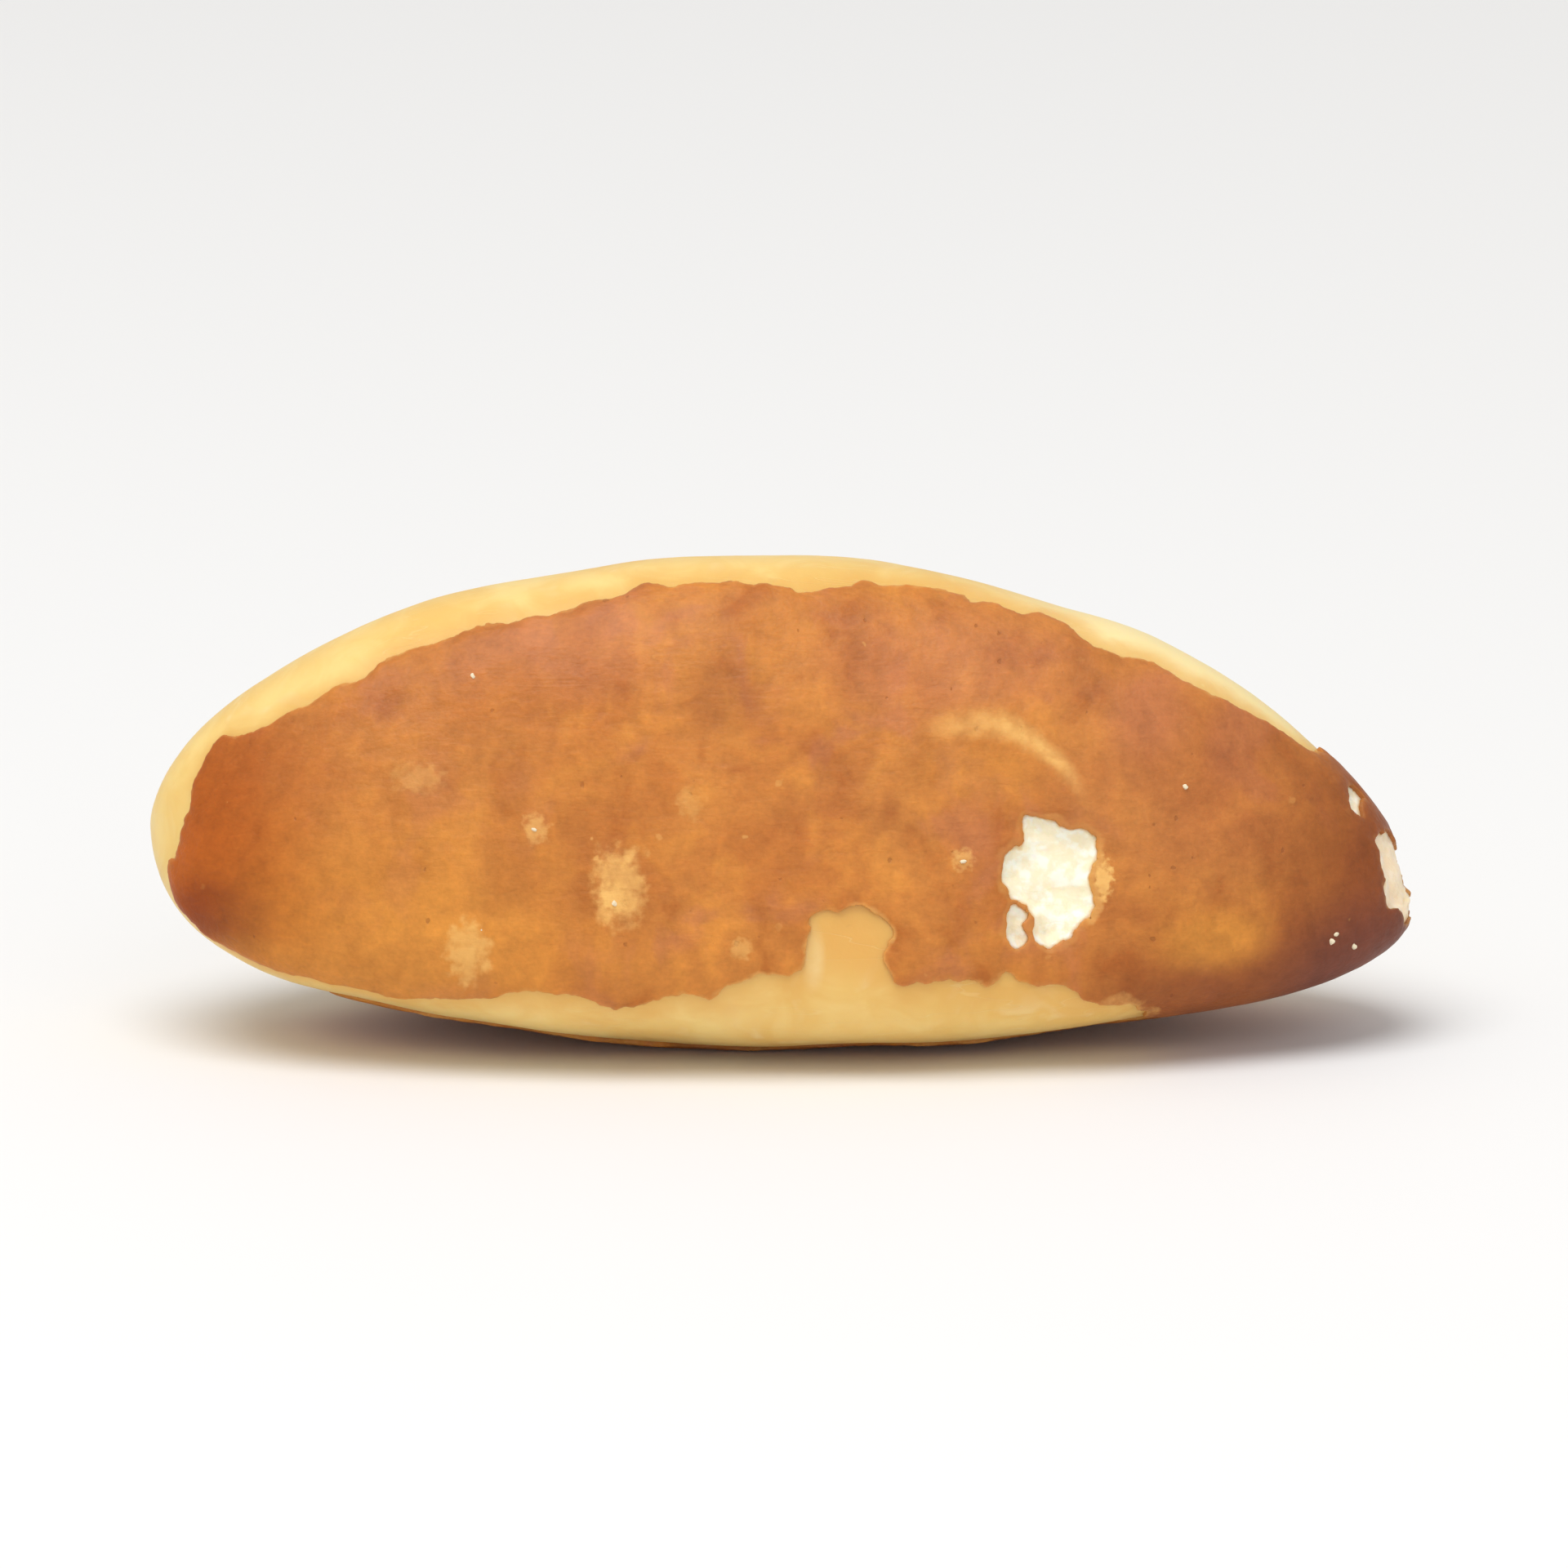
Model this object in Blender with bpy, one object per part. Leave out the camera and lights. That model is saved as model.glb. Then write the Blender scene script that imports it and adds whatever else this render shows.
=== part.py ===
"""A shelled brazil nut kernel at rest on its flattest side.

It grew as one piece, so it is one solid: a long rounded three sided body of cream flesh, with
remnants of its own brown skin standing slightly proud of it. X runs along the nut, Z is up and
Y points to the back. The origin is at the bottom centre of its box.
"""
import bmesh
import bpy
import numpy as np
from mathutils import Vector

MM = 0.001

# Driving dimensions, all in millimetres and degrees
LENGTH = 37.7
# How far each side reaches from the straight line between the two tips, where along the
# half length it peaks, and the two powers that round it off towards the left and right tips
TOP = (9.30, 0.04, (2.0, 0.59), (2.0, 0.60))
BOTTOM = (5.30, -0.05, (3.6, 0.49), (1.55, 0.49))
FRONT = (6.60, -0.05, (2.8, 0.50), (2.1, 0.58))
BACK = (9.90, 0.02, (2.3, 0.55), (2.0, 0.58))
# Heights of the left and the right tip, before the nut is set down
TIP_HEIGHTS = (6.62, 4.45)
# The three sides of a section: the way each faces, its distance from the middle and its radius,
# the last two relative to each other
SIDES = ((160.0, 1.00, 4.5), (270.0, 0.84, 4.0), (42.0, 0.98, 1.9))
# The higher this is, the sharper the three long edges
EDGE_POWER = 6.0

# Slow unevenness of a grown thing, as waves: height, wavelengths along X, Y and Z, and phase
SWELLS = (
    (0.060, (24.0, 15.0, -19.0), 3.2),
    (0.055, (-17.0, 21.0, 13.0), 1.0),
    (0.045, (11.0, -16.0, 18.0), 2.8),
    (0.030, (8.3, 9.1, -12.0), 5.5),
    (0.020, (-5.2, 6.7, 7.9), 3.5),
)
# A shallow trough along the rounded back: its angle, half width, middle, half length and depth
TROUGH = (60.0, 15.0, -1.0, 13.5, 0.20)

# How far the skin stands proud of the flesh, and how deep a chip goes below it
SKIN_RELIEF = 0.18
CHIP_DEPTH = 0.25
# Where the part's origin lies in these numbers. Its height is that of the floor, which takes a
# sliver off the lowest side and so leaves the flat spot that the nut rests on
ORIGIN = (0.091, 1.5525, 0.235)

# Outlines on the unrolled surface: millimetres along the nut, degrees round it. Zero degrees
# faces back and 90 up, so 180 is the front
FRONT_SKIN = (
    (-18.1, 190), (-17.9, 155), (-16.8, 119), (-14.7, 122), (-12.6, 123), (-11.0, 119),
    (-6.7, 116), (-4.0, 113), (2.0, 112), (7.4, 110), (10.1, 112), (12.8, 115), (15.7, 117),
    (16.4, 96), (21.0, 96), (21.0, 240), (13.4, 241), (11.9, 226), (11.2, 210), (8.8, 208),
    (8.1, 202), (3.7, 200), (3.1, 195), (3.3, 186), (1.1, 187), (0.6, 191), (0.0, 199),
    (-3.3, 206), (-6.7, 206), (-10.7, 211), (-14.0, 212), (-16.3, 208),
)
UNDER_SKIN = (
    (-12.8, 243), (-7.5, 233), (-1.0, 236), (4.6, 231), (9.4, 238), (13.4, 232), (21.0, 230),
    (21.0, 322), (13.6, 314), (10.0, 320), (7.4, 304), (2.6, 309), (-0.4, 321), (-5.0, 316),
    (-9.8, 324), (-12.0, 300), (-14.9, 286), (-13.9, 262),
)
BACK_SKIN = (
    (-12.6, 33), (-9.7, 47), (-7.0, 44), (-5.7, 54), (-2.6, 49), (-1.9, 37), (-4.6, 33),
    (-5.2, 22), (-8.4, 24), (-9.6, 14), (-12.2, 19),
)
SHOULDER_SKIN = ((6.1, 63), (8.0, 78), (10.6, 76), (11.2, 66), (9.0, 61), (8.4, 52), (6.8, 54))
HEEL_SKIN = ((-20.0, -34), (-16.9, -30), (-15.4, 4), (-16.2, 42), (-17.3, 58), (-20.0, 60))
SKIN_OUTLINES = (FRONT_SKIN, UNDER_SKIN, BACK_SKIN, SHOULDER_SKIN, HEEL_SKIN)
# Skin wraps the right tip past this distance, which sways round the nut
TIP_SKIN_START = 15.9
TIP_SKIN_SWAY = 0.7
# Bare chips in the skin: middle along the nut, angle, half length and half width in millimetres
CHIPS = ((8.1, 179.0, 1.30, 1.90), (18.35, 152.0, 0.75, 5.20))

# Mesh fineness: quads along the nut, and across each of the four sides round it
QUADS_ALONG = 36
QUADS_ACROSS = 26

FLESH_COLOUR = (0.76, 0.56, 0.24, 1.0)
SKIN_COLOUR = (0.36, 0.14, 0.055, 1.0)


def clear_scene():
    """Empties the scene, so that a second run gives the same result."""
    for item in list(bpy.data.objects):
        bpy.data.objects.remove(item, do_unlink=True)


def material(name, colour, roughness):
    """A plain finish with one colour."""
    finish = bpy.data.materials.new(name)
    finish.use_nodes = True
    shader = finish.node_tree.nodes["Principled BSDF"]
    shader.inputs["Base Color"].default_value = colour
    shader.inputs["Roughness"].default_value = roughness
    shader.inputs["Metallic"].default_value = 0.0
    return finish


def reach(share, side):
    """How far a side lies from the line between the tips, at shares of the half length."""
    height, peak, left, right = side
    on_left = share < peak
    towards_tip = np.where(on_left, (peak - share) / (1 + peak), (share - peak) / (1 - peak))
    blunt = np.where(on_left, left[0], right[0])
    power = np.where(on_left, left[1], right[1])
    return height * np.clip(1 - towards_tip**blunt, 0, 1) ** power


def raw_section(angle):
    """A rounded triangle: three arcs, blended where they would meet in an edge."""
    closeness = 0
    for faces, distance, radius in SIDES:
        turn = angle - np.radians(faces)
        shift = radius - distance
        to_arc = np.sqrt(radius**2 - (shift * np.sin(turn)) ** 2) - shift * np.cos(turn)
        closeness = closeness + to_arc**-EDGE_POWER
    from_middle = closeness ** (-1 / EDGE_POWER)
    return from_middle * np.cos(angle), from_middle * np.sin(angle)


def section(angle):
    """The rounded triangle, fitted in a square from -1 to 1."""
    fitted = []
    for values, whole in zip(raw_section(angle), raw_section(np.radians(np.arange(720) / 2))):
        middle = (whole.max() + whole.min()) / 2
        half = (whole.max() - whole.min()) / 2
        fitted.append((values - middle) / half)
    return fitted


def smooth_body(share, angle):
    """Points of the even body, before swells, trough, skin and chips."""
    across, up = section(angle)
    top, bottom, front, back = (reach(share, side) for side in (TOP, BOTTOM, FRONT, BACK))
    tip_line = TIP_HEIGHTS[0] + (TIP_HEIGHTS[1] - TIP_HEIGHTS[0]) * (share + 1) / 2
    x = LENGTH / 2 * share
    y = (back - front) / 2 + (back + front) / 2 * across
    z = tip_line + (top - bottom) / 2 + (top + bottom) / 2 * up
    return np.stack((x, y, z), axis=-1)


def chart(share, angle):
    """Places on the unrolled surface in millimetres: along the nut, and round it."""
    radius = (TOP[0] + BOTTOM[0] + FRONT[0] + BACK[0]) / 4
    return np.stack((LENGTH / 2 * share, angle * radius), axis=-1)


def inside_outline(places, outline):
    """Distance from a closed outline on the unrolled surface, positive inside it."""
    corners = chart(np.array([c[0] for c in outline]) * 2 / LENGTH,
                    np.radians([c[1] for c in outline]))
    nearest = np.full(len(places), np.inf)
    inside = np.zeros(len(places), dtype=bool)
    for start, end in zip(corners, np.roll(corners, -1, axis=0)):
        run = end - start
        offset = places - start
        along = np.clip(offset @ run / (run @ run), 0, 1)
        gap = offset - along[:, None] * run
        nearest = np.minimum(nearest, np.hypot(gap[:, 0], gap[:, 1]))
        crosses = (start[1] > places[:, 1]) != (end[1] > places[:, 1])
        with np.errstate(divide="ignore", invalid="ignore"):
            meets = start[0] + run[0] * (places[:, 1] - start[1]) / run[1]
        inside ^= crosses & (places[:, 0] < meets)
    return np.where(inside, nearest, -nearest)


def chip_distance(places, chip):
    """Distance from the edge of a bare chip, positive inside it."""
    middle = chart(np.array(chip[0] * 2 / LENGTH), np.radians(chip[1]))
    half = np.array(chip[2:])
    return (1 - np.linalg.norm((places - middle) / half, axis=1)) * half.min()


def skin_distance(share, angle):
    """Distance into the skin, positive where skin covers the flesh, and the same into chips."""
    turn = 2 * np.pi
    covered = LENGTH / 2 * share - TIP_SKIN_START
    covered = covered + TIP_SKIN_SWAY * np.sin(3 * angle + 0.6)
    for outline in SKIN_OUTLINES:
        for lap in (-turn, 0, turn):
            covered = np.maximum(covered, inside_outline(chart(share, angle + lap), outline))
    chipped = np.full(len(share), -np.inf)
    for chip in CHIPS:
        chipped = np.maximum(chipped, chip_distance(chart(share, angle), chip))
    return np.minimum(covered, -chipped), chipped


def swell(points):
    """Slow rise and fall of the surface at each point, the trough on the back left out."""
    rise = 0
    for height, wavelengths, phase in SWELLS:
        rise = rise + height * np.sin(2 * np.pi * points @ (1 / np.array(wavelengths)) + phase)
    return rise


def trough(share, angle):
    """Depth of the shallow trough that runs along the back."""
    faces, half_width, middle, half_length, depth = TROUGH
    turn = (np.degrees(angle) - faces + 180) % 360 - 180
    along = (LENGTH / 2 * share - middle) / half_length
    return depth * np.exp(-((turn / half_width) ** 2)) * np.exp(-(along**4))


def sphere_net():
    """A cube cut into quads and blown up to a unit sphere, evenly in angle."""
    net = bmesh.new()
    bmesh.ops.create_cube(net, size=2.0)
    for axis, quads in ((0, QUADS_ALONG), (1, QUADS_ACROSS), (2, QUADS_ACROSS)):
        edges = [e for e in net.edges if abs((e.verts[0].co - e.verts[1].co)[axis]) > 1.0]
        bmesh.ops.subdivide_edges(net, edges=edges, cuts=quads - 1, use_grid_fill=True)
    for vert in net.verts:
        even = [np.tan(c * np.pi / 4) for c in vert.co]
        vert.co = Vector(even).normalized()
    return net


def directions(net):
    """Share along the nut and angle round it of every point of the sphere."""
    ways = np.array([vert.co for vert in net.verts])
    return np.clip(ways[:, 0], -1, 1), np.arctan2(ways[:, 2], ways[:, 1]) % (2 * np.pi)


def pull_onto_skin_edge(net):
    """Moves the nearest points of the net onto the edge of the skin, so that it runs clean."""
    covered = skin_distance(*directions(net))[0]
    crossing = []
    for edge in net.edges:
        a, b = (v.index for v in edge.verts)
        if covered[a] * covered[b] < 0:
            near, far = (a, b) if abs(covered[a]) < abs(covered[b]) else (b, a)
            crossing.append((abs(covered[near]), near, far))
    net.verts.ensure_lookup_table()
    starts = [vert.co.copy() for vert in net.verts]
    moved = set()
    for gap, near, far in sorted(crossing):
        if near not in moved:
            moved.add(near)
            part = gap / (gap + abs(covered[far]))
            net.verts[near].co = starts[near].lerp(starts[far], part).normalized()
    covered[list(moved)] = 0
    return covered


def shape_kernel(net, covered):
    """Moves the sphere's points out to the kernel's surface and sets it down on its flat spot."""
    share, angle = directions(net)
    points = smooth_body(share, angle)
    for vert, point in zip(net.verts, points):
        vert.co = point
    net.normal_update()
    out = np.array([vert.normal for vert in net.verts])
    chipped = skin_distance(share, angle)[1]
    rise = swell(points) - trough(share, angle)
    rise = rise + SKIN_RELIEF * np.clip(covered / SKIN_RELIEF, 0, 1)
    rise = rise - CHIP_DEPTH * np.clip(chipped / CHIP_DEPTH, 0, 1)
    points = points + out * rise[:, None] - ORIGIN
    points[:, 2] = np.maximum(points[:, 2], 0)
    for vert, point in zip(net.verts, points):
        vert.co = Vector(point) * MM


def build_kernel():
    """The whole kernel as one closed mesh, with its two finishes."""
    net = sphere_net()
    covered = pull_onto_skin_edge(net)
    shape_kernel(net, covered)
    for face in net.faces:
        face.smooth = True
        face.material_index = int(sum(covered[v.index] for v in face.verts) > 0)
    bmesh.ops.triangulate(net, faces=net.faces[:], quad_method="SHORT_EDGE")
    mesh = bpy.data.meshes.new("kernel")
    net.to_mesh(mesh)
    net.free()
    mesh.materials.append(material("nut_flesh", FLESH_COLOUR, 0.45))
    mesh.materials.append(material("nut_skin", SKIN_COLOUR, 0.38))
    return bpy.data.objects.new("kernel", mesh)


def main():
    """Builds the kernel in a collection of its own."""
    clear_scene()
    collection = bpy.data.collections.new("brazil_nut")
    bpy.context.scene.collection.children.link(collection)
    collection.objects.link(build_kernel())


main()
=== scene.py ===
"""Looks of a shelled brazil nut kernel: its flesh, its torn skin and the crumbs on both.

The kernel's body follows one rule, which Geometry Nodes work out. Its skin is cut from that
body along torn edges, and small flakes and crumbs are strewn over both.
"""

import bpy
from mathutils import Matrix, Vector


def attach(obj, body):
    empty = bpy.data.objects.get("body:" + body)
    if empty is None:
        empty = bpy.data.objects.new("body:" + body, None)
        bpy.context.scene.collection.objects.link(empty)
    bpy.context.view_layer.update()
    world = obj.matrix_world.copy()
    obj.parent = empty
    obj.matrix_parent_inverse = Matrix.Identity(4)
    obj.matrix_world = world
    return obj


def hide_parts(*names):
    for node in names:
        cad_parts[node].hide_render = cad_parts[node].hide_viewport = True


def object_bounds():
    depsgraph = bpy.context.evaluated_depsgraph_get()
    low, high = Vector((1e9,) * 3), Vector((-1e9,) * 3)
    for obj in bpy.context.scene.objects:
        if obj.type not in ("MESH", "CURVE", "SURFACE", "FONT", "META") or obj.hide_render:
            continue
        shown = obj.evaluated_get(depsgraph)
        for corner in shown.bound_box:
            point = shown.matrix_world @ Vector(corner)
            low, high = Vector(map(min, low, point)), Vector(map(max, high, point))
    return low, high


bl_info = {
    "name": "Brazil nut kernel",
    "version": (1, 0, 0),
    "blender": (4, 5, 0),
    "location": "3D View > Sidebar > Nut",
    "description": "Builds a shelled brazil nut kernel with torn skin, and a plain stage for it",
    "category": "Object",
}

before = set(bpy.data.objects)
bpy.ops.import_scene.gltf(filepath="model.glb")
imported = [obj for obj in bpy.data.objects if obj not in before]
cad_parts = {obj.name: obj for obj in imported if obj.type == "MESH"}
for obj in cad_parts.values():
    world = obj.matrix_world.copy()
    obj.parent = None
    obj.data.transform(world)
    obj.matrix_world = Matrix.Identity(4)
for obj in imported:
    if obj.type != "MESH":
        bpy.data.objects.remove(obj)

import math
from typing import NamedTuple

import bpy
import numpy as np
from bpy.props import FloatProperty, FloatVectorProperty, IntProperty, PointerProperty
from mathutils import Vector, noise

CAD_BOX = [list(corner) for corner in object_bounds()]
NODE = "kernel"
BODY = "root"
MM = 0.001
FULL_TURN = 2 * math.pi
PER_SQUARE_CM = 1e4

# The body's rule, as the solid has it, in millimetres and degrees. Each side: reach from the line
# between the tips, where it peaks, and the powers that round it off to the left and the right
LENGTH = 37.7
REACHES = {
    "Top": (9.30, 0.04, (2.0, 0.59), (2.0, 0.60)),
    "Bottom": (5.30, -0.05, (3.6, 0.49), (1.55, 0.49)),
    "Front": (6.60, -0.05, (2.8, 0.50), (2.1, 0.58)),
    "Back": (9.90, 0.02, (2.3, 0.55), (2.0, 0.58)),
}
TIP_HEIGHTS = (6.62, 4.45)
# Each of a section's three arcs: the way it faces, how far off it is and its radius
SIDES = ((160.0, 1.00, 4.5), (270.0, 0.84, 4.0), (42.0, 0.98, 1.9))
EDGE_POWER = 6.0
# Swells: height, wavelengths and phase
SWELLS = (
    (0.060, (24.0, 15.0, -19.0), 3.2),
    (0.055, (-17.0, 21.0, 13.0), 1.0),
    (0.045, (11.0, -16.0, 18.0), 2.8),
    (0.030, (8.3, 9.1, -12.0), 5.5),
    (0.020, (-5.2, 6.7, 7.9), 3.5),
)
# The trough along the back: the way it faces, half its width, its middle, half its length, depth
TROUGH = (60.0, 15.0, -1.0, 13.5, 0.20)
ORIGIN = (0.091, 1.5525, 0.235)
# Fine relief of the flesh: size of the bumps and share of the full relief
FLESH_RELIEF = ((3.2, 1.0), (1.1, 0.35), (0.45, 0.12))

# Outlines of the skin on the unrolled surface: millimetres along the nut, degrees round it
FRONT_SKIN = (
    (-18.0, 203), (-18.1, 194), (-17.9, 174), (-17.7, 155), (-17.5, 136), (-17.1, 122),
    (-16.7, 118), (-16.1, 123), (-15.5, 125), (-14.9, 124), (-13.9, 123), (-13.3, 121),
    (-12.5, 122), (-11.9, 120), (-10.9, 118), (-10.3, 119), (-8.9, 116), (-8.2, 117), (-7.4, 116),
    (-6.8, 117), (-5.9, 115), (-5.1, 114), (-4.4, 112), (-3.9, 111), (-2.9, 113), (-1.1, 113),
    (0.1, 113), (0.6, 114), (1.5, 112), (2.5, 109), (3.3, 110), (5.3, 107), (5.7, 109), (6.3, 108),
    (7.2, 110), (7.9, 108), (8.6, 110), (9.3, 114), (10.1, 115), (10.8, 113), (11.5, 114),
    (12.0, 116), (13.0, 115), (14.1, 114), (15.1, 112), (15.8, 109), (16.2, 103), (16.5, 96),
    (21.0, 96), (21.0, 240), (13.4, 241), (11.9, 231), (11.0, 220), (10.5, 210), (9.7, 208),
    (9.1, 207), (8.6, 204), (8.1, 202), (7.5, 202), (7.0, 201), (6.6, 199), (6.0, 202), (5.5, 200),
    (4.1, 200), (3.6, 200.5), (3.3, 198.5), (3.1, 195), (3.25, 192), (3.3, 189), (2.95, 186.3),
    (2.5, 184.4), (2.0, 184.9), (1.7, 186), (1.2, 185.5), (0.9, 187.5), (0.95, 190), (0.75, 193),
    (0.75, 196.5), (0.2, 198.5), (-0.6, 199), (-1.5, 202), (-2.1, 204), (-2.9, 203), (-3.9, 206),
    (-4.9, 208), (-6.1, 205), (-7.5, 205), (-9.1, 208), (-10.9, 211), (-12.9, 211), (-14.9, 211),
    (-16.8, 211), (-17.6, 209),
)
UNDER_SKIN = (
    (-12.8, 243), (-7.5, 233), (-1.0, 236), (4.6, 231), (9.4, 238), (13.4, 232), (21.0, 230),
    (21.0, 322), (13.6, 314), (10.0, 320), (7.4, 304), (2.6, 309), (-0.4, 321), (-5.0, 316),
    (-9.8, 324), (-12.0, 300), (-14.9, 286), (-13.9, 262),
)
BACK_SKIN = (
    (-12.6, 33), (-9.7, 47), (-7.0, 44), (-5.7, 54), (-2.6, 49), (-1.9, 37), (-4.6, 33),
    (-5.2, 22), (-8.4, 24), (-9.6, 14), (-12.2, 19),
)
SHOULDER_SKIN = ((6.1, 63), (8.0, 78), (10.6, 76), (11.2, 66), (9.0, 61), (8.4, 52), (6.8, 54))
HEEL_SKIN = (
    (-18.4, -42), (-17.7, -20), (-16.5, -15), (-15.9, -3), (-14.4, -5), (-13.3, 1), (-13.0, 6),
    (-14.5, 9), (-15.6, 18), (-15.4, 27), (-16.8, 25), (-17.3, 38), (-17.1, 52), (-18.1, 60),
    (-18.6, 22),
)
SKIN_OUTLINES = (FRONT_SKIN, UNDER_SKIN, BACK_SKIN, SHOULDER_SKIN, HEEL_SKIN)
# Skin goes right round the tip from here, with an edge that sways: how far, how often, phase
TIP_SKIN_START = 15.9
TIP_SKIN_SWAY = (0.7, 3, 0.6)
CHIPS = (
    ((7.3, 162), (7.2, 167), (7.0, 170), (6.6, 172), (6.5, 177), (6.7, 181), (7.2, 184), (7.4, 187),
     (7.5, 191), (7.8, 194), (8.1, 194), (8.5, 192), (8.8, 189), (9.2, 187), (9.4, 184), (9.2, 179),
     (9.3, 174), (9.4, 169), (9.3, 165), (8.9, 163), (8.4, 164), (8.1, 162), (7.7, 162)),
    ((6.8, 186), (7.0, 184), (7.4, 187), (7.2, 189), (7.4, 192), (7.1, 194), (6.7, 192)),
    ((17.0, 107), (17.4, 105), (17.4, 121), (17.0, 123)),
    ((18.0, 187), (17.9, 177), (17.9, 162), (17.9, 147), (17.8, 136), (17.7, 130), (17.9, 117),
     (18.2, 100), (18.3, 84), (18.4, 40), (18.6, -10), (19.6, -10), (19.6, 370), (18.7, 370),
     (18.7, 240), (18.4, 192)),
)

# Torn edges stray by these amounts over these distances, in millimetres: the outline as a whole,
# its edge, and the bites out of it; behind they stray so much more, from this far back
WARPS = ((0.10, 3.1), (0.08, 1.0))
TEARS = ((0.10, 0.8), (0.07, 0.3), (0.035, 0.13))
BITES = ((0.08, 1.5), (0.10, 0.45))
BACK_TEARS = (2.6, 3.0)
CHIP_TEARS = ((0.10, 0.9), (0.10, 0.4), (0.05, 0.16))
CHIP_BITES = ((0.18, 0.7), (0.10, 0.3))
# How near an edge the noise reaches, and the depth at which depths stop
NOISE_REACH = 2.0
FAR = 3.0
# Seeds of the noise, and how far each moves it
WARP_SEEDS = (11, 12)
TEAR_SEED, CHIP_SEED, CRUMBLE_SEED, LIFT_SEED, RIPPLE_SEED = range(1, 6)
SEED_STEPS = (7.3, 3.1, 5.7)
# The chips: depth, how far in they are that deep, and how they crumble
CHIP_DEPTH = 0.24
CHIP_WALL = 0.45
CHIP_CRUMBLE = ((0.09, 0.55), (0.06, 0.25))
# The skin: how deep it is rooted, how far the flesh in it clears the floor, how thin its torn
# edge is, how far in it is full, how far and how often its edge lifts, and its ripples
SKIN_ROOT = 0.06
FLESH_CLEARANCE = 0.03
SKIN_EDGE_SHARE = 0.5
SKIN_EDGE_WIDTH = 0.35
SKIN_LIFT = (0.16, 1.3, 0.22)
SKIN_RIPPLES = ((0.030, 1.9), (0.014, 0.8))
# Edges that turn more than this, in degrees, look sharp
SHARP_ANGLE = 50
# Quads nearer to a torn edge than this, in millimetres, are split this many times each way
NEAR_EDGE = 0.28
SPLITS = 3
# Which edge is meant: the skin's or the chips'
SKIN_EDGE, CHIP_EDGE = range(2)
# Nothing is strewn lower than this, in millimetres
STREWN_ABOVE = 0.6
# The stage: how far the floor lies below the kernel in millimetres, its greys, the colour of the
# light all round, and each lamp's name, size and place in metres
FLOOR_GAP = 0.02
FLOOR_GREYS = (0.86, 0.84)
ROOM_COLOUR = (1.0, 0.985, 0.96)
LAMPS = (
    ("top_light", 0.45, (-0.09, -0.16, 0.50)),
    ("front_light", 0.50, (0.15, -0.60, 0.28)),
)


def arithmetic(operation, swapped=False):
    """A method for one of Python's operators, which adds a Math node."""
    def method(value, other):
        pair = (other, value) if swapped else (value, other)
        return value.nodes.math(operation, *pair)
    return method


class Value:
    """What a node gives, which takes plain arithmetic if it is a number or a vector."""

    def __init__(self, nodes, socket):
        self.nodes = nodes
        self.socket = socket
        self.is_vector = socket.type in ("VECTOR", "RGBA")

    __add__ = __radd__ = arithmetic("ADD")
    __sub__ = arithmetic("SUBTRACT")
    __rsub__ = arithmetic("SUBTRACT", swapped=True)
    __mul__ = __rmul__ = arithmetic("MULTIPLY")
    __truediv__ = arithmetic("DIVIDE")
    __rtruediv__ = arithmetic("DIVIDE", swapped=True)
    __pow__ = arithmetic("POWER")
    __lt__ = arithmetic("LESS_THAN")
    __gt__ = arithmetic("GREATER_THAN")


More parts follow.
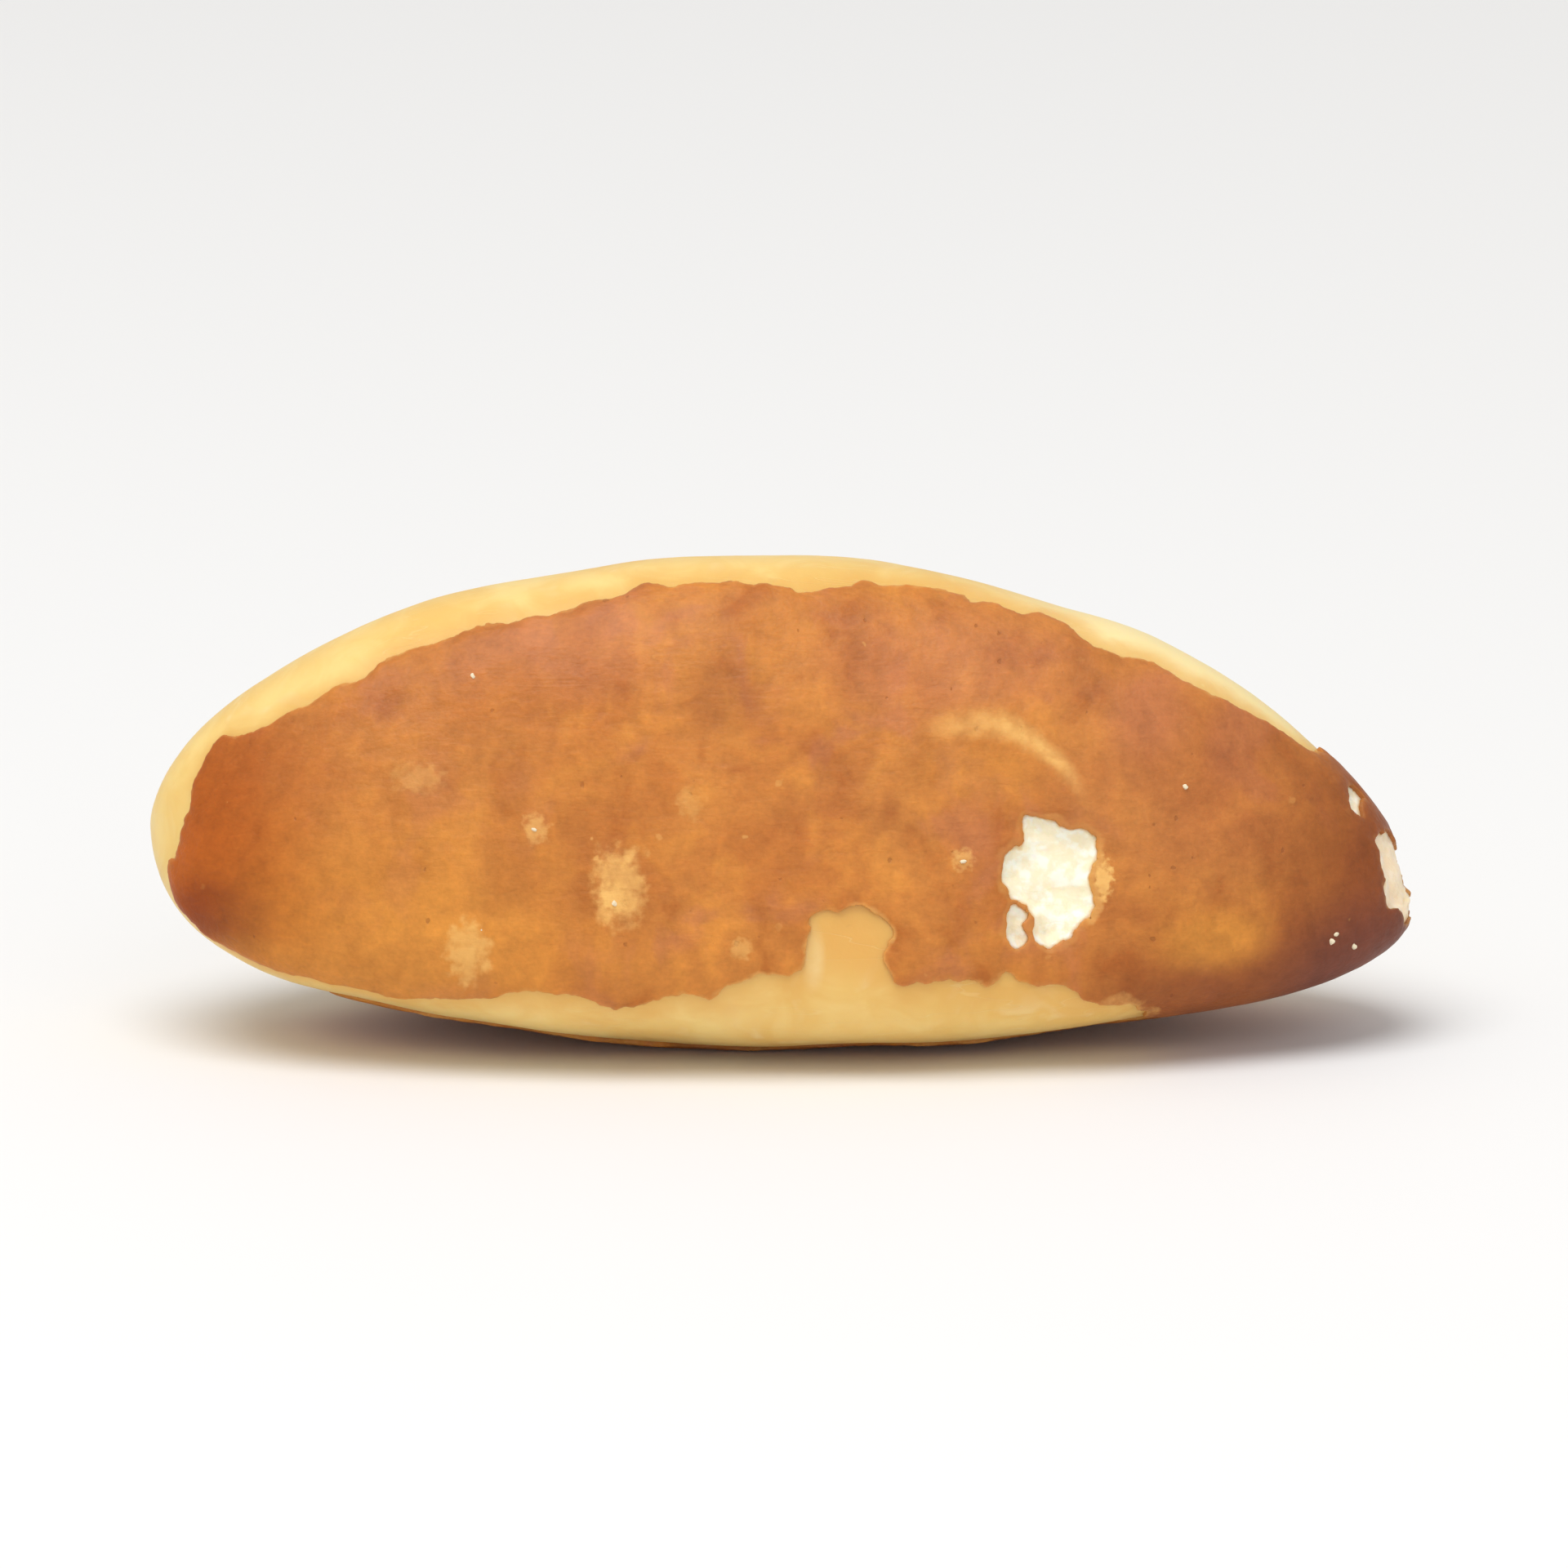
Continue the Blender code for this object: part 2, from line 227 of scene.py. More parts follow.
class Nodes:
    """Short calls that add nodes to one tree, for shaders and for geometry alike."""

    def __init__(self, tree):
        self.tree = tree

    def feed(self, socket, value):
        """Links a socket to what a node gives, or gives it a plain value."""
        if isinstance(value, Value):
            self.tree.links.new(value.socket, socket)
        else:
            socket.default_value = value

    def fill(self, node, inputs):
        """Feeds a node's inputs, in order or by name."""
        if isinstance(inputs, dict):
            for name, value in inputs.items():
                self.feed(live(node.inputs, name), value)
        else:
            for socket, value in zip(node.inputs, inputs):
                self.feed(socket, value)

    def add(self, kind, inputs=(), **settings):
        """A new node with its settings made and its inputs fed."""
        node = self.tree.nodes.new(kind)
        for name, value in settings.items():
            setattr(node, name, value)
        self.fill(node, inputs)
        return node

    def get(self, kind, inputs=(), output=None, **settings):
        """What a new node gives: its first output in use, or the one of a name."""
        return Value(self, live(self.add(kind, inputs, **settings).outputs, output))

    def math(self, operation, *values):
        """What a Math node gives, or a Vector Math node if there is a vector in it."""
        vectors = any(isinstance(value, Value) and value.is_vector for value in values)
        kind = "ShaderNodeVectorMath" if vectors else "ShaderNodeMath"
        return self.get(kind, values, operation=operation)

    def total(self, start, *weighted):
        """A value with others added to it, each times its weight."""
        for value, weight in weighted:
            start = self.math("MULTIPLY_ADD", value, weight, start)
        return start

    def parts(self, vector):
        """The three numbers of a vector."""
        node = self.add("ShaderNodeSeparateXYZ", (vector,))
        return [Value(self, part) for part in node.outputs]

    def join(self, x, y, z):
        """A vector of three numbers."""
        return self.get("ShaderNodeCombineXYZ", (x, y, z))

    def blend(self, share, first, second):
        """A number between two others."""
        return self.get("ShaderNodeMix", {"Factor": share, "A": first, "B": second})

    def tint(self, share, first, second, blend_type="MIX"):
        """A colour between two others."""
        return self.get("ShaderNodeMix", {"Factor": share, "A": first, "B": second},
                        data_type="RGBA", blend_type=blend_type)

    def step(self, value, low, high):
        """Runs smoothly from 0 to 1 as a value goes from low to high."""
        return self.get("ShaderNodeMapRange", (value, low, high, 0.0, 1.0),
                        interpolation_type="SMOOTHSTEP")

    def ramp(self, way, start, end):
        """Runs smoothly from 0 to 1 between two places in millimetres."""
        return self.step(way, start * MM, end * MM)

    def cloud(self, place, size, detail=3.0, warp=0.0, output=None):
        """Noise from 0 to 1 with clouds of about this size in millimetres, or three of it."""
        return self.get("ShaderNodeTexNoise", {
            "Vector": place, "Scale": 1 / (size * MM), "Detail": detail, "Distortion": warp,
        }, output)

    def bump(self, relief, strength, height):
        """A normal bent by relief of a height in millimetres."""
        return self.get("ShaderNodeBump", {
            "Strength": strength, "Distance": height * MM, "Height": relief})

    def painted(self, name):
        """A number that a mesh keeps on its points, for a shader."""
        return self.get("ShaderNodeAttribute", output="Fac", attribute_name=name)

    def stored(self, name):
        """A number that a mesh keeps on its points, for a geometry tree."""
        return self.get("GeometryNodeInputNamedAttribute", {"Name": name}, data_type="FLOAT")

    def random(self, low, high, seed):
        """A random number for each point or instance."""
        return self.get("FunctionNodeRandomValue", {"Min": low, "Max": high, "Seed": seed},
                        data_type="FLOAT")

    def turn(self, seed):
        """A random angle for each point or instance."""
        return self.random(0.0, FULL_TURN, seed)

    def place(self):
        """Where each point of a mesh lies."""
        return self.get("GeometryNodeInputPosition")

    def moved(self, shape, **inputs):
        """A shape with its points moved, by Position or Offset."""
        return self.get("GeometryNodeSetPosition", {"Geometry": shape, **inputs})

    def group(self, tree, *values):
        """The number that another tree works out."""
        return self.get("GeometryNodeGroup", values, node_tree=tree)

    def realized(self, shape):
        """A shape with its instances made real."""
        return self.get("GeometryNodeRealizeInstances", {"Geometry": shape})

    def finished(self, result, shape, material):
        """The tree, ended with a shape that is real and has its material."""
        self.feed(result, self.get("GeometryNodeSetMaterial", {
            "Geometry": self.realized(shape), "Material": material}))
        return self.tree


def live(sockets, name=None):
    """The first of a node's sockets that is in use, of a name if that is given."""
    return next(s for s in sockets if s.enabled and name in (None, s.name))


def new_tree(name, output, **inputs):
    """An empty geometry node tree with named sockets, listed by kind, and what fills it."""
    tree = bpy.data.node_groups.new(name, "GeometryNodeTree")
    sockets = [(label, "INPUT", kind) for kind, labels in inputs.items() for label in labels]
    sockets.append((output, "OUTPUT", "Geometry" if output == "Geometry" else "Float"))
    for label, side, kind in sockets:
        tree.interface.new_socket(name=label, in_out=side, socket_type="NodeSocket" + kind)
    nodes = Nodes(tree)
    outputs = nodes.add("NodeGroupInput").outputs
    given = {socket.name: Value(nodes, socket) for socket in outputs if socket.name}
    return nodes, given, nodes.add("NodeGroupOutput").inputs[output]


def use_tree(thing, tree, **values):
    """Adds a tree to an object as a modifier, with its inputs set by their identifiers."""
    modifier = thing.modifiers.new(tree.name, "NODES")
    modifier.node_group = tree
    for item in tree.interface.items_tree:
        name = item.name.lower().replace(" ", "_")
        if item.in_out == "INPUT" and name in values:
            modifier[item.identifier] = values[name]


def made_plain(thing, material):
    """Turns an object's evaluated shape into its own mesh, and removes its modifiers."""
    graph = bpy.context.evaluated_depsgraph_get()
    mesh = bpy.data.meshes.new_from_object(thing.evaluated_get(graph))
    thing.modifiers.clear()
    mesh.polygons.foreach_set("material_index", [0] * len(mesh.polygons))
    mesh.materials.clear()
    mesh.materials.append(material)
    thing.data = mesh
    return thing


def new_object(name, data=None):
    """A new object in the scene, at the origin."""
    thing = bpy.data.objects.new(name, data or bpy.data.meshes.new(name))
    bpy.context.scene.collection.objects.link(thing)
    return thing


def reach_tree():
    """How far one side lies from the line between the tips."""
    nodes, given, result = new_tree("nut_reach", "Distance", Float=(
        "Share", "Reach", "Peak", "Left Bluntness", "Left Power", "Right Bluntness",
        "Right Power"))
    share, reach, peak, left_blunt, left_power, right_blunt, right_power = given.values()
    on_left = share < peak
    towards_tip = nodes.math("MAXIMUM", (peak - share) / (1.0 + peak),
                             (share - peak) / (1.0 - peak))
    blunt = nodes.blend(on_left, right_blunt, left_blunt)
    power = nodes.blend(on_left, right_power, left_power)
    left_over = nodes.math("MAXIMUM", 1.0 - towards_tip ** blunt, 0.0)
    nodes.feed(result, reach * left_over ** power)
    return nodes.tree


def arc_tree():
    """How strongly one of the three arcs of a section holds it in, at an angle."""
    nodes, given, result = new_tree("nut_arc", "Closeness", Float=(
        "Angle", "Faces", "Distance", "Radius", "Edge Power"))
    angle, faces, distance, radius, power = given.values()
    turn = angle - faces
    shift = radius - distance
    sideways = shift * nodes.math("SINE", turn)
    to_middle = nodes.math("SQRT", radius ** 2.0 - sideways * sideways)
    to_arc = to_middle - shift * nodes.math("COSINE", turn)
    nodes.feed(result, to_arc ** (power * -1.0))
    return nodes.tree


def sphere_net(nodes, along, across):
    """A cube of quads blown up to a unit sphere, evenly in angle."""
    counts = {"Vertices " + way: count + 1.0
              for way, count in zip("XYZ", (along, across, across))}
    cube = nodes.get("GeometryNodeMeshCube", {"Size": (2.0, 2.0, 2.0), **counts})
    even = [nodes.math("TANGENT", part * (math.pi / 4)) for part in nodes.parts(nodes.place())]
    return nodes.moved(cube, Position=nodes.math("NORMALIZE", nodes.join(*even)))


def kept(nodes, shape, name, value):
    """Stores a number on each point under a name, and gives the shape and the stored number."""
    stored = nodes.get("GeometryNodeStoreNamedAttribute", {
        "Geometry": shape, "Name": name, "Value": value}, data_type="FLOAT", domain="POINT")
    return stored, nodes.stored(name)


def section_nodes(nodes, angle, given):
    """The rounded triangle at an angle, fitted in a square from -1 to 1."""
    arc = arc_tree()
    closeness = 0.0
    for faces, distance, radius in SIDES:
        closeness += nodes.group(arc, angle, math.radians(faces), distance, radius,
                                 given["Edge Power"])
    from_middle = closeness ** (-1.0 / given["Edge Power"])
    raw = nodes.join(0.0, from_middle * nodes.math("COSINE", angle),
                     from_middle * nodes.math("SINE", angle))
    return nodes.parts((raw - given["Section Middle"]) / given["Section Half"])


def swell_nodes(nodes, share, angle, given):
    """Slow rise and fall of the surface, less the trough along the back."""
    place = nodes.place()
    rise = 0.0
    for height, wavelengths, phase in SWELLS:
        turns = [FULL_TURN / (length * MM) for length in wavelengths]
        wave = nodes.math("SINE", nodes.math("DOT_PRODUCT", place, turns) + phase)
        rise = nodes.total(rise, (wave, height * MM))
    faces, half_width, middle, half_length, depth = TROUGH
    turn = nodes.math("DEGREES", angle) - (faces - 180.0)
    turn = nodes.math("FLOORED_MODULO", turn, 360.0) - 180.0
    along = (share * (given["Length"] * (0.5 / MM)) - middle) / half_length
    along = along * along
    fade = nodes.total((turn / half_width) ** 2.0, (along, along))
    return nodes.total(rise, (nodes.math("EXPONENT", fade * -1.0), -depth * MM))


def body_tree():
    """The kernel's whole body, worked out from its sizes."""
    nodes, given, result = new_tree(
        "nut_body", "Geometry", Int=("Quads Along", "Quads Across"),
        Float=("Length", "Top Reach", "Bottom Reach", "Front Reach", "Back Reach",
               "Left Tip Height", "Right Tip Height", "Edge Power", "Fine Relief"),
        Vector=("Section Middle", "Section Half", "Origin"), Material=("Material",))
    shape = sphere_net(nodes, given["Quads Along"], given["Quads Across"])
    x, y, z = nodes.parts(nodes.place())
    shape, angle = kept(nodes, shape, "angle", nodes.math("ARCTAN2", z, y))
    shape, share = kept(nodes, shape, "share", x)

    reach = reach_tree()
    top, bottom, front, back = (
        nodes.group(reach, share, given[label + " Reach"], peak, *left, *right)
        for label, (_, peak, left, right) in REACHES.items())
    _, across, up = section_nodes(nodes, angle, given)

    def spread(high, low, place):
        """From minus the low reach to the high reach, as place goes from -1 to 1."""
        return nodes.total((high - low) * 0.5, ((high + low) * 0.5, place))

    tip_line = nodes.blend(nodes.total(0.5, (share, 0.5)), given["Left Tip Height"],
                           given["Right Tip Height"])
    shape = nodes.moved(shape, Position=nodes.join(
        share * (given["Length"] * 0.5), spread(back, front, across),
        tip_line + spread(top, bottom, up)))

    place = nodes.place()
    rise = swell_nodes(nodes, share, angle, given)
    for size, strength in FLESH_RELIEF:
        bumps = nodes.cloud(place, size) - 0.5
        rise = nodes.total(rise, (bumps, given["Fine Relief"] * strength))
    lift = nodes.get("GeometryNodeInputNormal") * rise
    x, y, z = nodes.parts(place + lift - given["Origin"])
    shape = nodes.moved(shape, Position=nodes.join(x, y, nodes.math("MAXIMUM", z, 0.0)))
    smooth = nodes.get("GeometryNodeSetShadeSmooth", {"Geometry": shape})
    return nodes.finished(result, smooth, given["Material"])


def section_fit(power):
    """Middle and half size of the raw rounded triangle, across and up."""
    angle = np.radians(np.arange(720) / 2)
    closeness = 0
    for faces, distance, radius in SIDES:
        turn = angle - np.radians(faces)
        shift = radius - distance
        to_arc = np.sqrt(radius**2 - (shift * np.sin(turn)) ** 2) - shift * np.cos(turn)
        closeness = closeness + to_arc**-power
    from_middle = closeness ** (-1 / power)
    pairs = (from_middle * np.cos(angle), from_middle * np.sin(angle))
    middle = [0.0] + [float(p.max() + p.min()) / 2 for p in pairs]
    half = [1.0] + [float(p.max() - p.min()) / 2 for p in pairs]
    return middle, half


def bare_body(material):
    """The kernel's bare body as an object with a plain mesh."""
    shape = bpy.context.scene.nut_shape
    middle, half = section_fit(shape.edge_power)
    left, right = (height * MM for height in TIP_HEIGHTS)
    thing = new_object("bare_body")
    use_tree(thing, body_tree(), left_tip_height=left, right_tip_height=right,
             section_middle=middle, section_half=half, origin=[part * MM for part in ORIGIN],
             material=material, **{name: getattr(shape, name) for name in shape.__annotations__})
    return made_plain(thing, material)


class Ground(NamedTuple):
    """The bare body as arrays: points in millimetres, normals, and places along and round it."""

    points: np.ndarray
    normals: np.ndarray
    share: np.ndarray
    around: np.ndarray
    faces: list

    @classmethod
    def read(cls, mesh):
        """Takes a ground from the mesh that the body's tree made."""
        def numbers(data, name, *shape):
            values = np.empty(math.prod((len(data), *shape)), np.float32)
            data.foreach_get(name, values)
            return values.reshape(-1, *shape)

        share = numbers(mesh.attributes["share"].data, "value").astype(float)
        angle = numbers(mesh.attributes["angle"].data, "value")
        from_axis = np.sqrt(np.clip(1 - share**2, 0, 1))
        around = np.stack((np.cos(angle), np.sin(angle)), axis=-1) * from_axis[:, None]
        return cls(numbers(mesh.vertices, "co", 3) / MM,
                   numbers(mesh.vertex_normals, "vector", 3).astype(float), share, around,
                   [list(face.vertices) for face in mesh.polygons])

    @property
    def angle(self):
        """The angle round the nut of every point."""
        return np.arctan2(self.around[:, 1], self.around[:, 0])

    def mixed(self, corners, weights, faces):
        """This ground with points added, each a mix of some corners, and with other faces."""
        def grown(values):
            parts = values[corners] * (weights if values.ndim == 1 else weights[..., None])
            return np.concatenate((values, parts.sum(axis=1)))
        normals = grown(self.normals)
        normals /= np.linalg.norm(normals, axis=1)[:, None]
        return Ground(grown(self.points), normals, grown(self.share), grown(self.around), faces)

    def split(self, chosen):
        """The same ground with its chosen quads split, and their neighbours fitted to them."""
        corners = []
        weights = []
        on_edge = {}
        steps = range(1, SPLITS)

        def added(four, way, across):
            """A new point inside four corners, by its share of the way and across."""
            corners.append(four)
            weights.append(((1 - way) * (1 - across), way * (1 - across), way * across,
                            (1 - way) * across))
            return len(self.points) + len(corners) - 1

        def edge(a, b):
            """The new points between two corners, in order."""
            low, high = side = either_way(a, b)
            if side not in on_edge:
                on_edge[side] = [added((low, high, high, low), s / SPLITS, 0.0) for s in steps]
            return on_edge[side] if a < b else on_edge[side][::-1]

        faces = []
        for face in (f for f, wanted in zip(self.faces, chosen) if wanted):
            a, b, c, d = face
            rows = [[a, *edge(a, b), b]]
            left, right = edge(a, d), edge(b, c)
            for row in steps:
                inner = [added(face, step / SPLITS, row / SPLITS) for step in steps]
                rows.append([left[row - 1], *inner, right[row - 1]])
            rows.append([d, *edge(d, c), c])
            for low, high in zip(rows, rows[1:]):
                faces += [[low[i], low[i + 1], high[i + 1], high[i]] for i in range(SPLITS)]
        for face in (f for f, wanted in zip(self.faces, chosen) if not wanted):
            loop = []
            for a, b in sides(face):
                loop.append(a)
                if either_way(a, b) in on_edge:
                    loop += edge(a, b)
            faces.append(loop)
        return self.mixed(np.array(corners), np.array(weights), faces)

    def cut(self, depth):
        """The part of the ground where depth is above nothing, cut clean along its edge.

        Gives that part and the depth at each of its points.
        """
        inside = depth > 0
        between = {}
        faces = []

        def crossing(a, b):
            """The new point where the edge runs between two corners."""
            return between.setdefault(either_way(a, b), len(depth) + len(between))

        for face in self.faces:
            hits = sum(inside[p] for p in face)
            if hits == len(face):
                faces.append(face)
                continue
            if not hits:
                continue
            for piece in (face,) if len(face) != 4 else (face[:3], [face[0], *face[2:]]):
                loop = []
                for a, b in sides(piece):
                    if inside[a]:
                        loop.append(a)
                    if inside[a] != inside[b]:
                        loop.append(crossing(a, b))
                if len(loop) > 2:
                    faces.append(loop)
        corners = np.array(list(between))
        first, second = depth[corners[:, 0]], depth[corners[:, 1]]
        share = first / (first - second)
        ground = self.mixed(corners, np.stack((1 - share, share), axis=-1), faces)
        return ground, np.concatenate((depth, np.zeros(len(share))))


def sides(face):
    """The sides of a face, as pairs of its corners."""
    return zip(face, face[1:] + face[:1])


def either_way(a, b):
    """One pair for a side, whichever way it runs."""
    return min(a, b), max(a, b)


def chart(x, angle):
    """Places on the unrolled surface in millimetres, from X in millimetres and an angle."""
    radius = sum(reach for reach, *_ in REACHES.values()) / len(REACHES)
    return np.stack((x, angle * radius), axis=-1)


def smooth_loop(outline, steps=3):
    """A closed outline on the unrolled surface, rounded through its points."""
    points = chart(np.array([float(c[0]) for c in outline]), np.radians([c[1] for c in outline]))
    before, after, far = (np.roll(points, turn, axis=0) for turn in (1, -1, -2))
    loop = []
    for way in np.arange(steps) / steps:
        loop.append(0.5 * (2 * points + (after - before) * way
                           + (2 * before - 5 * points + 4 * after - far) * way**2
                           + (3 * points - before - 3 * after + far) * way**3))
    return np.stack(loop, axis=1).reshape(-1, 2)


def inside_outline(places, corners):
    """Distance from a closed outline on the unrolled surface, positive inside it."""
    nearest = np.full(len(places), np.inf)
    inside = np.zeros(len(places), dtype=bool)
    for start, end in zip(corners, np.roll(corners, -1, axis=0)):
        run = end - start
        offset = places - start
        along = np.clip(offset @ run / (run @ run), 0, 1)
        gap = offset - along[:, None] * run
        nearest = np.minimum(nearest, np.hypot(gap[:, 0], gap[:, 1]))
        crosses = (start[1] > places[:, 1]) != (end[1] > places[:, 1])
        with np.errstate(divide="ignore", invalid="ignore"):
            meets = start[0] + run[0] * (places[:, 1] - start[1]) / run[1]
        inside ^= crosses & (places[:, 0] < meets)
    return np.where(inside, nearest, -nearest)


def strays(points, octaves, seed, bites=()):
    """Noise for every point in millimetres: octaves of amount and size, and angular bites."""
    shift = Vector([seed * step for step in SEED_STEPS])
    total = np.zeros(len(points))
    for amount, size in octaves:
        total += amount * np.array([noise.noise(Vector(p) / size + shift) for p in points])
    for amount, size in bites:
        total += amount * np.array([0.5 - noise.voronoi(Vector(p) / size + shift)[0][0]
                                    for p in points])
    return total


def skin_depth(ground):
    """How far in the skin each point lies in millimetres, and how far in the chips."""
    x = LENGTH / 2 * ground.share
    angle = ground.angle

    def inside(chosen, stray):
        """How far inside the outlines the chosen points lie, once they have strayed."""
        sway, waves, phase = TIP_SKIN_SWAY
        depth = x[chosen] + stray[:, 0] - TIP_SKIN_START
        depth = depth + sway * np.sin(waves * angle[chosen] + phase)
        for outline in SKIN_OUTLINES:
            loop = smooth_loop(outline)
            for lap in (-2 * np.pi, 0, 2 * np.pi):
                places = chart(x[chosen], angle[chosen] + lap) + stray
                depth = np.maximum(depth, inside_outline(places, loop))
        return depth

    covered = inside(slice(None), np.zeros((len(x), 2)))
    near = np.abs(covered) < NOISE_REACH
    points = ground.points[near]
    most, behind = BACK_TEARS
    rougher = 1 + (most - 1) * np.clip(points[:, 1] / behind, 0, 1)
    stray = np.stack([strays(points, WARPS, seed) for seed in WARP_SEEDS], axis=-1)
    edge = strays(points, TEARS, TEAR_SEED, BITES) * rougher
    covered[near] = inside(near, stray * rougher[:, None]) + edge
    chipped = np.full(len(x), -FAR)
    for outline in CHIPS:
        depth = inside_outline(chart(x, angle % (2 * np.pi)), smooth_loop(outline))
        chipped = np.maximum(chipped, depth)
    near = chipped > -NOISE_REACH
    chipped[near] += strays(ground.points[near], CHIP_TEARS, CHIP_SEED, CHIP_BITES)
    return np.minimum(covered, -chipped), chipped


def fine_ground(material, edge):
    """The bare body's ground, with the quads split near the edge of the skin or the chips."""
    body = bare_body(material)
    ground = Ground.read(body.data)
    bpy.data.objects.remove(body)
    depth = skin_depth(ground)[edge][np.array(ground.faces)]
    crossed = (depth.min(axis=1) < 0) & (depth.max(axis=1) > 0)
    return ground.split(crossed | (np.abs(depth).min(axis=1) < NEAR_EDGE))


def solid_mesh(name, points, faces, material, **values):
    """A smooth mesh from points in millimetres, with numbers stored on its points."""
    mesh = bpy.data.meshes.new(name)
    mesh.from_pydata((points * MM).tolist(), [], faces)
    mesh.materials.append(material)
    for label, numbers in values.items():
        layer = mesh.attributes.new(label, "FLOAT", "POINT")
        layer.data.foreach_set("value", np.clip(numbers, -FAR, FAR).astype(np.float32))
    mesh.shade_smooth()
    return mesh


def set_down(points):
    """Points in millimetres, with none below the floor."""
    return np.concatenate((points[:, :2], np.maximum(points[:, 2:], 0)), axis=1)


def thick_sheet(faces, lower, upper):
    """Points and faces of a closed sheet between two layers, and which old points it uses."""
    used = sorted({p for face in faces for p in face})
    place = {p: i for i, p in enumerate(used)}
    top = [[place[p] for p in face] for face in faces]
    count = len(used)
    edges = {side for face in top for side in sides(face)}
    rim = sorted((a, b) for a, b in edges if (b, a) not in edges)
    walls = [[b, a, a + count, b + count] for a, b in rim]
    bottom = [[p + count for p in reversed(face)] for face in top]
    return used, np.concatenate((upper[used], lower[used])), top + bottom + walls


def skin_height(points, depth, thickness):
    """How far the skin's outside stands above the flesh, in millimetres."""
    from_edge = np.clip(depth / SKIN_EDGE_WIDTH, 0, 1)
    height = thickness * (SKIN_EDGE_SHARE + (1 - SKIN_EDGE_SHARE) * np.sqrt(from_edge))
    amount, size, width = SKIN_LIFT
    curl = np.clip(strays(points, ((1.0, size),), LIFT_SEED), 0, 1)
    height = height + amount * curl * np.exp(-depth / width)
    return height + strays(points, SKIN_RIPPLES, RIPPLE_SEED) * from_edge


class NUT_OT_flesh(bpy.types.Operator):
    """Build the kernel's flesh, with its chips"""

    bl_idname = "nut.flesh"
    bl_label = "Kernel Flesh"

    def execute(self, context):
        material = flesh_material(context.scene.nut_colours)
        ground = fine_ground(material, CHIP_EDGE)
        depth, chipped = skin_depth(ground)
        sunk = CHIP_DEPTH * np.clip(chipped / CHIP_WALL, 0, 1)
        inside = chipped > 0
        crumble = strays(ground.points[inside], CHIP_CRUMBLE, CRUMBLE_SEED, CHIP_CRUMBLE)
        sunk[inside] += crumble * np.clip(chipped[inside] / CHIP_WALL, 0, 1)
        points = set_down(ground.points - ground.normals * sunk[:, None])
        clear = FLESH_CLEARANCE * np.clip(depth / SKIN_EDGE_WIDTH, 0, 1)
        points[:, 2] = np.maximum(points[:, 2], clear)
        mesh = solid_mesh("kernel_flesh", points, ground.faces, material, covered=depth,
                          chipped=chipped)
        piece = new_object("kernel_flesh", mesh)
        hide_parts(NODE)
        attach(piece, BODY)
        return {"FINISHED"}


class NUT_OT_skin(bpy.types.Operator):
    """Build what is left of the kernel's skin, as one thin closed sheet for each patch"""

    bl_idname = "nut.skin"
    bl_label = "Torn Skin"

    def execute(self, context):
        material = skin_material(context.scene.nut_colours)
        ground = fine_ground(material, SKIN_EDGE)
        ground, depth = ground.cut(skin_depth(ground)[SKIN_EDGE])
        height = skin_height(ground.points, depth, context.scene.nut_shape.skin_thickness / MM)
        upper = set_down(ground.points + ground.normals * height[:, None])
        lower = set_down(ground.points - ground.normals * SKIN_ROOT)
        used, points, faces = thick_sheet(ground.faces, lower, upper)
        mesh = solid_mesh("kernel_skin", points, faces, material, covered=np.tile(depth[used], 2))
        mesh.set_sharp_from_angle(angle=math.radians(SHARP_ANGLE))
        piece = new_object("kernel_skin", mesh)
        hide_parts(NODE)
        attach(piece, BODY)
        return {"FINISHED"}


def shader_nodes(name):
    """A new material's nodes, its main shader and the place on the object."""
    material = bpy.data.materials.new(name)
    material.use_nodes = True
    nodes = Nodes(material.node_tree)
    shader = material.node_tree.nodes["Principled BSDF"]
    place = nodes.get("ShaderNodeTexCoord", output="Object")
    return material, nodes, shader, place


def linear(colour, share=1.0):
    """A linear colour with alpha, from a property, brighter or darker by a share."""
    return (*(part * share for part in colour), 1.0)


def in_scene(place):
    """A place in metres in the scene, from millimetres in the body's rule."""
    return [(part - origin) * MM for part, origin in zip(place, ORIGIN)]


def spot(nodes, place, middle, sizes, edge=0.35, ragged=0.0):
    """1 inside a soft ellipsoid round a place in millimetres, and 0 outside it."""
    length = nodes.math("LENGTH", (place - in_scene(middle)) / [size * MM for size in sizes])
    if ragged:
        bumps = nodes.cloud(place, min(sizes) * 0.7, 5.0) - 0.5
        length = nodes.total(length, (bumps, ragged))
    return nodes.step(length, 1.0 + edge, 1.0 - edge)


def dots(nodes, place, spacing, largest, share):
    """Small soft dots of many sizes, in only a share of the cells that they could lie in."""
    bend = nodes.cloud(place, largest / 0.55, 1.0, output="Color")
    bent = nodes.total(place, (bend, [1.8 * largest * MM] * 3))
    cells = nodes.add("ShaderNodeTexVoronoi", {"Vector": bent, "Scale": 1 / (spacing * MM)})
    dice, distance = (Value(nodes, cells.outputs[name]) for name in ("Color", "Distance"))
    largest /= spacing
    size = (nodes.parts(dice)[0] - (1.0 - share)) * (1 / share) * largest
    return nodes.step(size - distance, -0.1 * largest, 0.35 * largest)


class Paint:
    """A colour with coats of others laid over it, one after another."""

    def __init__(self, nodes, place, colours, name):
        self.nodes = nodes
        self.place = place
        self.colours = colours
        self.colour = linear(getattr(colours, name))

    def coat(self, mask, name, share=1.0):
        """Lays on a colour by its name, brighter or darker by a share, where a mask is 1."""
        second = linear(getattr(self.colours, name), share)
        self.colour = self.nodes.tint(mask, self.colour, second)

    def spots(self, tints, edge=0.6):
        """Lays on soft spots: their middles, half sizes, colours and strengths."""
        for middle, sizes, name, strength in tints:
            self.coat(spot(self.nodes, self.place, middle, sizes, edge) * strength, name)


